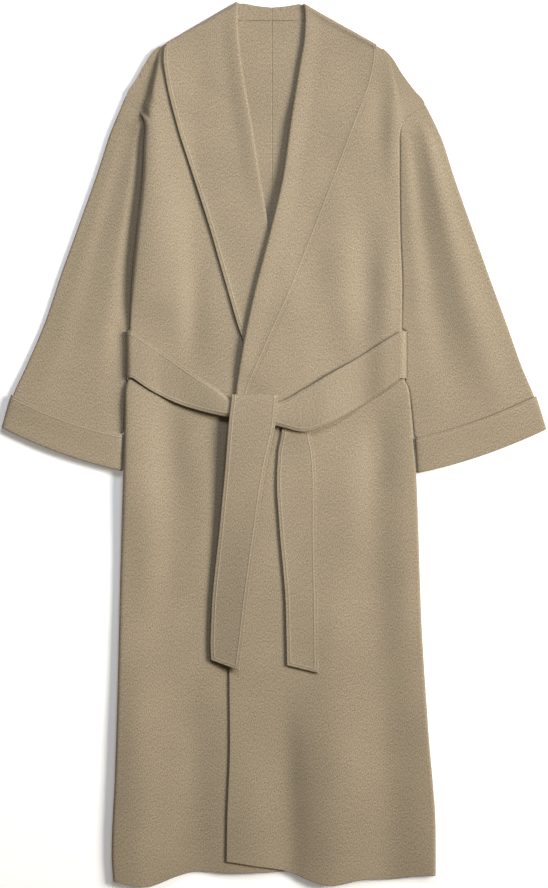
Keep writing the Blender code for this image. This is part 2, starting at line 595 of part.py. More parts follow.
def belt_left_height(x, y):
    """Height of the left strand: on the under front, then over the other front and its collar to the knot."""
    low = left_front_height(x, BELT_LINE + 0 * y) + BELT_LAYER + WRAP_LOFT * ramp(x, *WRAP_FADE_LEFT)
    return low + (KNOT_LEVEL - low) * ramp(x, *KNOT_FADE_LEFT)


def belt_right_height(x, y):
    """Height of the right strand: from the knot, over the hanging end, down to the over front."""
    low = right_front_height(x, BELT_LINE + 0 * y) + BELT_LAYER + WRAP_LOFT * ramp(x, *WRAP_FADE_RIGHT)
    return low + (KNOT_LEVEL - low) * ramp(x, *KNOT_FADE_RIGHT)


def tie_points(table, height):
    """Points of a hanging end, from the top down."""
    y, left, right = sections(table, TIE_GRID[0])
    x = left + (right - left) * np.linspace(0, 1, TIE_GRID[1] + 1)[None, :]
    return stack(x, y, height(x, y))


def tie_left_height(x, y):
    """Height of the left end: over the knot, then down onto the fronts."""
    rest = right_front_height(np.maximum(x, TIE_INNER), y) + BELT_LAYER
    knot = KNOT_LEVEL + BELT_CLOTH + SEAM_GAP
    return rest + (knot - rest) * ramp(y, *TIE_KNOT_FADE)


def tie_right_height(x, y):
    """Height of the right end: it lies on the over front, under the right strand."""
    return right_front_height(x, np.minimum(y, TIE_CROSSING)) + BELT_LAYER + TIE_LOFT


def tie_left_points():
    """Points of the left end with its fold over the top of the knot and its reach behind the strands."""
    hanging = tie_points(TIE_LEFT, tie_left_height)
    top = hanging[:1]
    turn = np.linspace(0, np.pi, ROLL_STEPS + 1)[::-1][:-1, None]
    rise = TIE_ROLL_TOP - TIE_LEFT[0].y
    roll = top + stack(0 * turn, rise * np.sin(turn), -TIE_ROLL * (1 - np.cos(turn)))
    hook = top + np.array((0.0, -TIE_HOOK, -2 * TIE_ROLL))
    return np.concatenate((hook, roll, hanging))


def belt_back_points():
    """Points of the plain stretch of belt under the back, between the ends of the two strands."""
    left = BELT_LEFT[0].x + BELT_END_GAP
    right = BELT_RIGHT[-1].x - BELT_END_GAP
    x = np.linspace(left, right, BELT_GRID[1] + 1)[None, :]
    part = np.linspace(0, 1, BELT_GRID[1] + 1)[:, None]
    low = np.interp(x, (left, right), (BELT_LEFT[0].low, BELT_RIGHT[-1].low))
    high = np.interp(x, (left, right), (BELT_LEFT[0].high, BELT_RIGHT[-1].high))
    return stack(x, low + (high - low) * part, BELT_CLOTH / 2)


for old in list(bpy.data.objects):
    bpy.data.objects.remove(old, do_unlink=True)

COAT = bpy.data.collections.new("wool_coat")
bpy.context.scene.collection.children.link(COAT)

add_piece("back_left", back_points(SIDE_LEFT, FRONT_LEFT), CLOTH)
add_piece("back_right", back_points(SIDE_RIGHT, FRONT_RIGHT), CLOTH)
under_front = front_points(FRONT_LEFT, SIDE_LEFT, EDGE_LEFT, COLLAR_LEFT, HEM_LEFT, left_front_height)
over_front = front_points(FRONT_RIGHT, SIDE_RIGHT, EDGE_RIGHT, COLLAR_RIGHT, HEM_RIGHT, right_front_height)
add_piece("front_left", under_front, CLOTH)
add_piece("front_right", over_front, CLOTH)
add_piece("collar_left", collar_points(COLLAR_LEFT, WRAP_LEFT, left_front_height), CLOTH)
add_piece("collar_right", collar_points(COLLAR_RIGHT, WRAP_RIGHT, right_front_height), CLOTH)
add_piece("sleeve_left", sleeve_points(SLEEVE_LEFT, SIDE_LEFT, SLEEVE_FOLDS_LEFT), CLOTH, closed=True)
add_piece("sleeve_right", sleeve_points(SLEEVE_RIGHT, SIDE_RIGHT, SLEEVE_FOLDS_RIGHT), CLOTH, closed=True)
add_piece("cuff_left", cuff_points(SLEEVE_LEFT, SIDE_LEFT, SLEEVE_FOLDS_LEFT), CLOTH, closed=True)
add_piece("cuff_right", cuff_points(SLEEVE_RIGHT, SIDE_RIGHT, SLEEVE_FOLDS_RIGHT), CLOTH, closed=True)
add_piece("belt_back", belt_back_points(), BELT_CLOTH)
add_piece("belt_left", strand_points(BELT_LEFT, belt_left_height), BELT_CLOTH)
add_piece("belt_right", strand_points(BELT_RIGHT, belt_right_height), BELT_CLOTH)
add_piece("belt_end_left", tie_left_points(), BELT_CLOTH)
add_piece("belt_end_right", tie_points(TIE_RIGHT, tie_right_height), BELT_CLOTH)
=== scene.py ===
"""Looks of the long wool wrap coat: its cloth, creases, sewn edges and finish, on a pale floor.

X runs across the coat, Y up towards the collar and Z up from the floor. Left and right are as seen from
above. Sizes are in millimetres until a mesh is made. Each piece is a surface over a grid: a table with a
row for each section gives smooth curves along the piece, and a formula across it gives the section. The
height of each front is worked out in one place, and whatever lies on a front takes its height from there.
"""
import logging
from dataclasses import dataclass
from enum import Enum
from typing import NamedTuple, Optional, Sequence, TypeVar

import bpy
import numpy as np
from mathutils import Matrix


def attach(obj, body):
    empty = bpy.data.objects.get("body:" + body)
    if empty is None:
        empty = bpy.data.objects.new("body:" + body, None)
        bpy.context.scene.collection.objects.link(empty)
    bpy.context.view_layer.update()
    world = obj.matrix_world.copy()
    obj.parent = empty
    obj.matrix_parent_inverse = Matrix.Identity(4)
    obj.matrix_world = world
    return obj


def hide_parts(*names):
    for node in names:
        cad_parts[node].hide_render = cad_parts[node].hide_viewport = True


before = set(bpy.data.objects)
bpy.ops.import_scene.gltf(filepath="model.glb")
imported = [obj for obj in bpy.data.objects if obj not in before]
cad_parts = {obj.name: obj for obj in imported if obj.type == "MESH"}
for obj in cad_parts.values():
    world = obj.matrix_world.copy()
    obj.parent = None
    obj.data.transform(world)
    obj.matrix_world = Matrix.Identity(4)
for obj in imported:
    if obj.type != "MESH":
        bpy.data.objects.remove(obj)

Array = np.ndarray
Value = TypeVar("Value")

LOG = logging.getLogger("wool_coat")
MM = 0.001
NO_EDGE = 500.0
FINE_ROWS = 3000
LATTICE = 64
RIM_SHARE = 0.4
MIX_COLOUR_SOCKETS = (0, 6, 7)
MIX_COLOUR_RESULT = 2


class Hand(Enum):
    """Side of the coat as seen from above."""

    LEFT = "left"
    RIGHT = "right"

    @property
    def sign(self) -> float:
        """Direction of this side along X."""
        return self.of(-1.0, 1.0)

    def of(self, left: Value, right: Value) -> Value:
        """Return the one of two values that belongs to this side."""
        return left if self is Hand.LEFT else right


class Lie(Enum):
    """How a sheet of cloth lies."""

    LAID = "laid"
    FOLDED = "folded"


class Fade(NamedTuple):
    """Smooth passage from 0 at start to 1 at stop, which may lie either way round."""

    start: float
    stop: float

    def at(self, value: Array) -> Array:
        """Return the passage at a place."""
        part = np.clip((value - self.start) / (self.stop - self.start), 0.0, 1.0)
        return part * part * (3.0 - 2.0 * part)


class SideRow(NamedTuple):
    """Side of the body at a height: its outline, the line where its fold stands, and the fold's height."""

    y: float
    edge: float
    crease: float
    crest: float


class FrontRow(NamedTuple):
    """Section across a front: the heights of its two ends, and how far its side fold turns under."""

    inner_y: float
    outer_y: float
    turn: float


class EdgeRow(NamedTuple):
    """Free front edge at a height."""

    y: float
    x: float


class Wave(NamedTuple):
    """Wave of a hem: its place, its drop and half its width."""

    x: float
    drop: float
    width: float


class Fold(NamedTuple):
    """Fold of a front: its two ends, half its width to the left and to the right, and its height."""

    x0: float
    y0: float
    x1: float
    y1: float
    left: float
    right: float
    height: float


class CollarRow(NamedTuple):
    """Section of the collar's fall: the roll line, the outer edge and the radius of the roll."""

    roll_x: float
    roll_y: float
    edge_x: float
    edge_y: float
    radius: float


class WrapRow(NamedTuple):
    """Section of the collar over the shoulder and under the back.

    The tilt is the way its outer face looks, from 0 for up to 180 for down. The stand is the strip inside
    the roll, and the inset is how far that strip stands off the line of the shoulder.
    """

    roll_x: float
    roll_y: float
    edge_x: float
    edge_y: float
    radius: float
    tilt: float
    level: float
    lift: float
    stand: float
    inset: float


class SleeveRow(NamedTuple):
    """Section across a sleeve: its two ends, and the heights of the upper and lower cloth."""

    outer_x: float
    outer_y: float
    inner_y: float
    top: float
    low: float


class SleeveFold(NamedTuple):
    """Fold of a sleeve: its place across (-1 outer, 1 inner), its two ends, half width and height."""

    across0: float
    across1: float
    start: float
    stop: float
    width: float
    height: float


class BeltRow(NamedTuple):
    """Section of a belt strand: its lower and upper edge, and how far its edges drop below its middle."""

    x: float
    low: float
    high: float
    crown: float


class TieRow(NamedTuple):
    """Section of a hanging belt end: its two edges, its crown, and how far its right edge is up."""

    y: float
    left: float
    right: float
    crown: float
    lean: float


class Ripple(NamedTuple):
    """Small unevenness of cloth: its height, the slant of its lines, its two lattice steps and its seed."""

    height: float
    slant: float
    cell_x: float
    cell_y: float
    seed: int

    def at(self, x: Array, y: Array, side: float = 1.0) -> Array:
        """Return the unevenness at a place, slanted the other way where side is -1."""
        return self.height * soft_noise(x + self.slant * side * y, y, self.cell_x, self.cell_y, self.seed)


def rows_of(kind: type, rows: Sequence[tuple]) -> tuple:
    """Return a table whose rows are all of one kind."""
    return tuple(kind(*row) for row in rows)


def hermite(part: Array, first: Array, last: Array, slope_first: Array, slope_last: Array) -> Array:
    """Return a cubic between two values with given slopes.

    Args:
        part: Place between the two, from 0 to 1.
        first: Value at 0.
        last: Value at 1.
        slope_first: Slope at 0.
        slope_last: Slope at 1.

    Returns:
        The cubic's values.
    """
    square, cube = part**2, part**3
    return ((2 * cube - 3 * square + 1) * first + (cube - 2 * square + part) * slope_first
            + (3 * square - 2 * cube) * last + (cube - square) * slope_last)


def slopes_through(values: Array, keys: Array) -> Array:
    """Return slopes of curves through values that never swing past them.

    Args:
        values: One row for each key and one column for each curve.
        keys: Rising places of the rows.

    Returns:
        Slopes, in the shape of values. Inside, each is the harmonic mean of the rises on its two sides.
    """
    rises = np.diff(values, axis=0) / np.diff(keys)[:, None]
    before, after = rises[:-1], rises[1:]
    total = np.where(before * after > 0, before + after, 1.0)
    inner = np.where(before * after > 0, 2 * before * after / total, 0.0)
    return np.vstack((rises[:1], inner, rises[-1:]))


def curve(rows: Sequence[tuple], column: str, at: Array) -> Array:
    """Return the smooth value of a table's column where its first column equals at.

    Args:
        rows: Table with rising first column.
        column: Name of the column.
        at: Places on the first column.

    Returns:
        The column's values there.
    """
    table = np.array(rows, float)
    keys, values = table[:, 0], table[:, rows[0]._fields.index(column)]
    slopes = slopes_through(values[:, None], keys)[:, 0]
    k = np.clip(np.searchsorted(keys, at) - 1, 0, len(keys) - 2)
    span = keys[k + 1] - keys[k]
    part = np.clip((at - keys[k]) / span, 0.0, 1.0)
    return hermite(part, values[k], values[k + 1], slopes[k] * span, slopes[k + 1] * span)


def sections_at(rows: Sequence[tuple], at: Array) -> list[Array]:
    """Return smooth sections of a table at given row numbers.

    Args:
        rows: Table of sections.
        at: Row numbers, which may lie between rows.

    Returns:
        One array (sections, 1) for each column.
    """
    table = np.array(rows, float)
    k = np.clip(at.astype(int), 0, len(table) - 2)
    slopes = slopes_through(table, np.arange(len(table), dtype=float))
    columns = hermite((at - k)[:, None], table[k], table[k + 1], slopes[k], slopes[k + 1]).T
    return [column[:, None] for column in columns]


def even_places(rows: Sequence[tuple], count: int, guides: Sequence[str]) -> Array:
    """Return row numbers that share out the length of a table's guide columns evenly.

    Args:
        rows: Table of sections.
        count: How many sections.
        guides: Names of the columns whose change counts as length.

    Returns:
        Row numbers, rising.
    """
    fine = np.linspace(0, len(rows) - 1, FINE_ROWS)
    columns = sections_at(rows, fine)
    picked = [columns[rows[0]._fields.index(name)][:, 0] for name in guides]
    steps = sum(np.abs(np.diff(column)) for column in picked)
    travel = np.concatenate(([0.0], np.cumsum(steps)))
    return np.interp(np.linspace(0, travel[-1], count), travel, fine)


def even_sections(rows: Sequence[tuple], count: int, guides: Sequence[str]) -> list[Array]:
    """Return count sections of a table, evenly spaced along its guide columns."""
    return sections_at(rows, even_places(rows, count, guides))


def soft_noise(x: Array, y: Array, cell_x: float, cell_y: float, seed: int) -> Array:
    """Return smooth noise between -1 and 1: seeded values on a lattice, blended by smooth steps.

    Args:
        x: Places along X.
        y: Places along Y.
        cell_x: Lattice step along X.
        cell_y: Lattice step along Y.
        seed: Seed of the lattice.

    Returns:
        Noise in the broadcast shape of x and y.
    """
    lattice = np.random.default_rng(seed).uniform(-1.0, 1.0, (LATTICE, LATTICE))
    u, v = np.broadcast_arrays(x / cell_x, y / cell_y)
    i, j = np.floor(u).astype(int), np.floor(v).astype(int)
    s, t = (part * part * (3.0 - 2.0 * part) for part in (u - i, v - j))
    i0, i1, j0, j1 = (number % LATTICE for number in (i, i + 1, j, j + 1))
    low = lattice[i0, j0] * (1 - s) + lattice[i1, j0] * s
    high = lattice[i0, j1] * (1 - s) + lattice[i1, j1] * s
    return low * (1 - t) + high * t


def with_rims(grid: Array, width: float) -> Array:
    """Return a grid with one more line of points close inside its first and its last line.

    Args:
        grid: Values (lines, points, values) whose first three values are a place.
        width: Distance of the new lines from the border, or RIM_SHARE of the way to the next if less.

    Returns:
        The grid with two more lines.
    """
    close = []
    for border, inner in ((grid[0], grid[1]), (grid[-1], grid[-2])):
        length = np.linalg.norm((inner - border)[:, :3], axis=1, keepdims=True)
        close.append(border + (inner - border) * np.minimum(width / np.maximum(length, width), RIM_SHARE))
    return np.concatenate((grid[:1], close[:1], grid[1:-1], close[1:], grid[-1:]))


def stack(x: Array, y: Array, z: Array) -> Array:
    """Return coordinate arrays joined into points (rows, columns, 3)."""
    return np.stack(np.broadcast_arrays(x, y, z), axis=-1)


def corner_map(place: Array) -> Array:
    """Return the map of a grid's face corners: lengths along the cloth, across and down the piece.

    Args:
        place: Points (rows, columns, 3).

    Returns:
        Pairs for the four corners of each face, in the unit of the points.
    """
    across = np.linalg.norm(np.diff(place, axis=1), axis=2).cumsum(axis=1)
    along = np.linalg.norm(np.diff(place, axis=0), axis=2).cumsum(axis=0)
    u = np.hstack((np.zeros((len(place), 1)), across))
    v = np.vstack((np.zeros((1, place.shape[1])), along))
    grid = np.stack((u, v), -1)
    return np.stack((grid[:-1, :-1], grid[:-1, 1:], grid[1:, 1:], grid[1:, :-1]), 2)


def set_inputs(node: bpy.types.Node, values: dict) -> None:
    """Set the inputs of a node, by their names or numbers."""
    for socket, value in values.items():
        node.inputs[socket].default_value = value


def add_node(tree: bpy.types.NodeTree, kind: str, values: dict, **settings: str) -> bpy.types.Node:
    """Add a node to a material.

    Args:
        tree: Node tree of the material.
        kind: Kind of node.
        values: Values of its inputs, by their names or numbers.
        settings: Settings of the node itself.

    Returns:
        The node.
    """
    node = tree.nodes.new(kind)
    for name, setting in settings.items():
        setattr(node, name, setting)
    set_inputs(node, values)
    return node


@dataclass(frozen=True)
class Wool:
    """Brushed wool: mixed light and dark fibres, a soft nap, a raised line by sewn edges with painted
    highlight.
    """

    dark: tuple = (0.178, 0.130, 0.078, 1.0)
    middle: tuple = (0.296, 0.236, 0.160, 1.0)
    light: tuple = (0.424, 0.356, 0.264, 1.0)
    # Colour of the raised line by sewn edges: a painted highlight where light catches the ridge.
    ridge_highlight: tuple = (0.450, 0.385, 0.300, 1.0)
    dark_below: float = 0.33
    middle_at: float = 0.5
    light_above: float = 0.67
    # Share of that painted highlight mixed into the fibre colour.
    ridge_highlight_share: float = 0.27
    fibre_scale: float = 780.0
    fibre_stretch: tuple = (1.0, 0.5, 1.0)
    fibre_detail: float = 4.0
    fibre_roughness: float = 0.68
    cloud_scale: float = 11.0
    cloud_detail: float = 3.0
    cloud_low: float = 0.3
    cloud_high: float = 0.7
    cloud_depth: float = 0.10
    nap_height: float = 0.00045
    nap_strength: float = 0.28
    line_inset: float = 0.0052
    line_width: float = 0.0017
    line_height: float = 0.00045
    roughness: float = 0.92
    sheen: float = 0.22
    sheen_roughness: float = 0.45
    specular: float = 0.12

    def make(self, name: str) -> bpy.types.Material:
        """Make the material of one piece.

        Fibre noise follows the piece's own map and sets the mix of fibre colours and the nap. A wide cloud
        shades it a little. Beside a sewn edge a narrow ridge runs at a fixed distance from the edge, with a
        painted highlight along it.

        Args:
            name: Name of the material.

        Returns:
            The material.
        """
        material = bpy.data.materials.new(name)
        material.use_nodes = True
        tree = material.node_tree
        shader = tree.nodes["Principled BSDF"]
        set_inputs(shader, {
            "Roughness": self.roughness, "Specular IOR Level": self.specular,
            "Sheen Weight": self.sheen, "Sheen Roughness": self.sheen_roughness})
        fibre = self._fibre(tree)
        ridge = self._ridge(tree)
        colour = self._colour(tree, fibre, ridge)
        tree.links.new(colour, shader.inputs["Base Color"])
        tree.links.new(self._relief(tree, fibre, ridge), shader.inputs["Normal"])
        return material

    def _fibre(self, tree: bpy.types.NodeTree) -> bpy.types.NodeSocket:
        """Return fine noise on the piece's own map, drawn out along its length.

        Args:
            tree: Node tree of the material.

        Returns:
            Socket of the noise.
        """
        cloth_map = add_node(tree, "ShaderNodeUVMap", {}, uv_map="cloth")
        stretch = add_node(tree, "ShaderNodeMapping", {"Scale": self.fibre_stretch})
        noise = add_node(tree, "ShaderNodeTexNoise", {
            "Scale": self.fibre_scale, "Detail": self.fibre_detail, "Roughness": self.fibre_roughness})
        tree.links.new(cloth_map.outputs["UV"], stretch.inputs["Vector"])
        tree.links.new(stretch.outputs["Vector"], noise.inputs["Vector"])
        return noise.outputs["Fac"]

    def _ridge(self, tree: bpy.types.NodeTree) -> bpy.types.NodeSocket:
        """Return a ridge of height 1 at the line's distance from a sewn edge, 0 elsewhere.

        Args:
            tree: Node tree of the material.

        Returns:
            Socket of the ridge.
        """
        edge = add_node(tree, "ShaderNodeAttribute", {}, attribute_name="edge")
        away = add_node(tree, "ShaderNodeMath", {1: self.line_inset}, operation="SUBTRACT")
        size = add_node(tree, "ShaderNodeMath", {}, operation="ABSOLUTE")
        span = {"From Min": self.line_width, "From Max": 0.0}
        ridge = add_node(tree, "ShaderNodeMapRange", span, interpolation_type="SMOOTHSTEP")
        tree.links.new(edge.outputs["Fac"], away.inputs[0])
        tree.links.new(away.outputs["Value"], size.inputs[0])
        tree.links.new(size.outputs["Value"], ridge.inputs["Value"])
        return ridge.outputs["Result"]

    def _colour(self, tree: bpy.types.NodeTree, fibre: bpy.types.NodeSocket,
                ridge: bpy.types.NodeSocket) -> bpy.types.NodeSocket:
        """Return the fibre colours, shaded by a wide cloud and lightened along the raised line as a painted
        highlight.

        Args:
            tree: Node tree of the material.
            fibre: Fibre noise.
            ridge: Ridge of the raised line, where the painted highlight goes.

        Returns:
            Socket of the colour.
        """
        mix = add_node(tree, "ShaderNodeValToRGB", {})
        stops = mix.color_ramp.elements
        stops[0].position, stops[0].color = self.dark_below, self.dark
        stops[1].position, stops[1].color = self.light_above, self.light
        middle = stops.new(self.middle_at)
        middle.color = self.middle
        place = add_node(tree, "ShaderNodeTexCoord", {})
        cloud = add_node(tree, "ShaderNodeTexNoise", {
            "Scale": self.cloud_scale, "Detail": self.cloud_detail})
        shade = add_node(tree, "ShaderNodeMapRange", {
            "From Min": self.cloud_low, "From Max": self.cloud_high,
            "To Min": 1.0 - self.cloud_depth / 2, "To Max": 1.0 + self.cloud_depth / 2})
        shaded = add_node(tree, "ShaderNodeVectorMath", {}, operation="SCALE")
        factor, under, over = MIX_COLOUR_SOCKETS
        # Painted highlight: the colour is lightened along the raised line, where light would catch the
        # ridge.
        ridge_highlight = add_node(tree, "ShaderNodeMix", {over: self.ridge_highlight}, data_type="RGBA")
        faint = add_node(tree, "ShaderNodeMath", {1: self.ridge_highlight_share}, operation="MULTIPLY")
        tree.links.new(fibre, mix.inputs["Fac"])
        tree.links.new(place.outputs["Object"], cloud.inputs["Vector"])
        tree.links.new(cloud.outputs["Fac"], shade.inputs["Value"])
        tree.links.new(mix.outputs["Color"], shaded.inputs[0])
        tree.links.new(shade.outputs["Result"], shaded.inputs["Scale"])
        tree.links.new(ridge, faint.inputs[0])
        tree.links.new(faint.outputs["Value"], ridge_highlight.inputs[factor])
        tree.links.new(shaded.outputs["Vector"], ridge_highlight.inputs[under])
        return ridge_highlight.outputs[MIX_COLOUR_RESULT]

    def _relief(self, tree: bpy.types.NodeTree, fibre: bpy.types.NodeSocket,
                ridge: bpy.types.NodeSocket) -> bpy.types.NodeSocket:
        """Return the normal of the nap with the raised line on it.

        Args:
            tree: Node tree of the material.
            fibre: Fibre noise.
            ridge: Ridge of the raised line.

        Returns:
            Socket of the normal.
        """
        line = add_node(tree, "ShaderNodeBump", {"Strength": 1.0, "Distance": self.line_height})
        nap = add_node(tree, "ShaderNodeBump", {"Strength": self.nap_strength, "Distance": self.nap_height})
        tree.links.new(ridge, line.inputs["Height"])
        tree.links.new(fibre, nap.inputs["Height"])
        tree.links.new(line.outputs["Normal"], nap.inputs["Normal"])
        return nap.outputs["Normal"]


@dataclass(frozen=True)
class Cloth:
    """Thickness of the cloth and of the belt, and the gaps between layers."""

    wall: float = 2.2
    belt_wall: float = 2.8
    seam_gap: float = 0.3
    layer_gap: float = 1.2
    rim: float = 1.3

    @property
    def layer(self) -> float:
        """Height that one layer on another adds."""
        return self.wall + self.layer_gap

    @property
    def belt_layer(self) -> float:
        """Height from the middle of the coat's cloth to the middle of a belt on it."""
        return (self.wall + self.belt_wall) / 2 + self.layer_gap


CLOTH = Cloth()


@dataclass(frozen=True)
class Sheet:
    """One piece of cloth to be made: its node, points, wall, edge distances and how it lies."""

    node: str
    points: Array
    wall: float
    lie: Lie
    rests_on: tuple
    edge: Optional[Array] = None
    closed: bool = False

    def make(self, finish: Wool) -> bpy.types.Object:
        """Make the piece, dress it, and log the size of its cut.

        Args:
            finish: Finish of the cloth.

        Returns:
            The piece.
        """
        piece = bpy.data.objects.new(f"cloth_{self.node}", self._mesh())
        bpy.context.scene.collection.objects.link(piece)
        piece.data.materials.append(finish.make(f"brushed_{self.node}"))
        wall = piece.modifiers.new("Wall", "SOLIDIFY")
        wall.thickness = self.wall * MM
        wall.offset = 0.0
        wall.use_even_offset = True
        wall.use_quality_normals = True
        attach(piece, "root")
        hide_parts(self.node)
        width, length, area = self.cut()
        list(self.rests_on)
        LOG.info("%s: cut %.3f by %.3f m, %.4f square metres", self.node, width, length, area)
        return piece

    def cut(self) -> tuple[float, float, float]:
        """Measure the flat cut along the surface: its widest section, longest line and area.

        Returns:
            Width, length and area in metres.
        """
        place = self.points * MM
        width = np.linalg.norm(np.diff(place, axis=1), axis=2).sum(axis=1).max()
        length = np.linalg.norm(np.diff(place, axis=0), axis=2).sum(axis=0).max()
        one = np.cross(place[1:, 1:] - place[:-1, :-1], place[1:, :-1] - place[:-1, 1:])
        area = np.linalg.norm(one, axis=2).sum() / 2
        return round(float(width), 3), round(float(length), 3), round(float(area), 4)

    def _mesh(self) -> bpy.types.Mesh:
        """Make the mesh of the grid, with its map in metres along the cloth and its edge distances.

        Returns:
            The mesh.
        """
        rows, columns = self.points.shape[:2]
        edge = np.broadcast_to(NO_EDGE if self.edge is None else self.edge, (rows, columns))
        grid = with_rims(np.dstack((self.points, edge)), CLOTH.rim)
        if not self.closed:
            grid = with_rims(grid.swapaxes(0, 1), CLOTH.rim).swapaxes(0, 1)
        points, edge = grid[..., :3], grid[..., 3]
        rows, columns = points.shape[:2]
        own = columns - 1 if self.closed else columns
        index = np.arange(rows * own).reshape(rows, own)
        corner = np.hstack((index, index[:, :1])) if self.closed else index
        quads = np.stack((corner[:-1, :-1], corner[:-1, 1:], corner[1:, 1:], corner[1:, :-1]), -1)
        place = points[:, :own].reshape(-1, 3) * MM
        mesh = bpy.data.meshes.new(f"cloth_{self.node}")
        mesh.vertices.add(len(place))
        mesh.vertices.foreach_set("co", place.ravel())
        mesh.loops.add(quads.size)
        mesh.loops.foreach_set("vertex_index", quads.ravel())
        mesh.polygons.add(quads.size // 4)
        mesh.polygons.foreach_set("loop_start", np.arange(0, quads.size, 4))
        mesh.update(calc_edges=True)
        layer = mesh.uv_layers.new(name="cloth")
        layer.data.foreach_set("uv", corner_map(points * MM).ravel())
        values = mesh.attributes.new("edge", "FLOAT", "POINT")
        values.data.foreach_set("value", (edge[:, :own] * MM).ravel())
        mesh.shade_smooth()
        return mesh


@dataclass(frozen=True)
class CollarCut:
    """Tables of the shawl collar: falls on the fronts, and wraps over the shoulders to the centre back."""

    fall_left: tuple = rows_of(CollarRow, (
        (36, 76, 18, 74, 1.7), (31, 104, -14, 101, 1.7), (20, 150, -44, 150, 1.7),
        (4, 240, -71, 236, 1.7), (-9, 318, -94, 316, 1.8), (-21, 390, -117, 388, 2.8),
        (-34, 472, -142, 466, 3.0), (-47, 548, -157, 527, 3.0), (-53, 600, -162, 562, 2.8),
        (-54.5, 630, -161, 578, 2.5),
    ))
    fall_right: tuple = rows_of(CollarRow, (
        (-57.5, 32, -46, 32, 1.7), (-55, 77, -36, 77, 2.2), (-44, 148, -8, 144, 2.6),
        (-28, 224, 26, 220, 2.8), (-7, 305, 59, 303, 2.8), (13, 390, 92, 388, 3.0),
        (25, 474, 122, 468, 3.0), (37, 550, 144, 527, 3.0), (45, 600, 151, 560, 2.8),
        (46, 628, 152, 574, 2.5),
    ))
    wrap_left: tuple = rows_of(WrapRow, (
        (-53.5, 642, -157, 584, 2.1, 8, 7.2, 5.6, 4, 1.6),
        (-53, 644, -156, 585, 2.0, 60, 7.4, 6.2, 4, 2.2),
        (-53, 644, -156, 585, 2.0, 120, 7.4, 6.2, 4, 2.2),
        (-51.8, 645, -154, 582, 1.9, 165, 7.2, 5.9, 5, 2.1),
        (-50, 645, -128, 562, 1.8, 180, 5.7, 4.4, 10, 1.0),
        (-44, 645, -82, 550, 1.7, 180, 4.7, 3.4, 24.4, 0),
        (-26, 641.5, -36, 546, 1.7, 180, 4.7, 3.4, 19.2, 0),
        (-3.06, 639, -3.06, 545, 1.7, 180, 4.7, 3.4, 16.8, 0),
    ))
    wrap_right: tuple = rows_of(WrapRow, (
        (44.5, 640, 149, 581, 2.1, 8, 7.2, 5.6, 4, 1.6), (44, 642, 148, 582, 2.0, 60, 7.4, 6.2, 4, 2.2),
        (44, 642, 148, 582, 2.0, 120, 7.4, 6.2, 4, 2.2),
        (42.8, 643.2, 146, 579, 1.9, 165, 7.2, 5.9, 5, 2.1),
        (41, 643, 120, 562, 1.8, 180, 5.7, 4.4, 10, 1.0),
        (36, 644, 72, 550, 1.7, 180, 4.7, 3.4, 23.2, 0),
        (19, 641, 28, 546, 1.7, 180, 4.7, 3.4, 18.7, 0),
        (-2.94, 639, -2.94, 545, 1.7, 180, 4.7, 3.4, 16.8, 0),
    ))
    strip: float = 4.0
    front_gap: float = 1.2

    def fall(self, hand: Hand) -> tuple:
        """Return the fall's table on one side."""
        return hand.of(self.fall_left, self.fall_right)

    def wrap(self, hand: Hand) -> tuple:
        """Return the wrap's table on one side."""
        return hand.of(self.wrap_left, self.wrap_right)


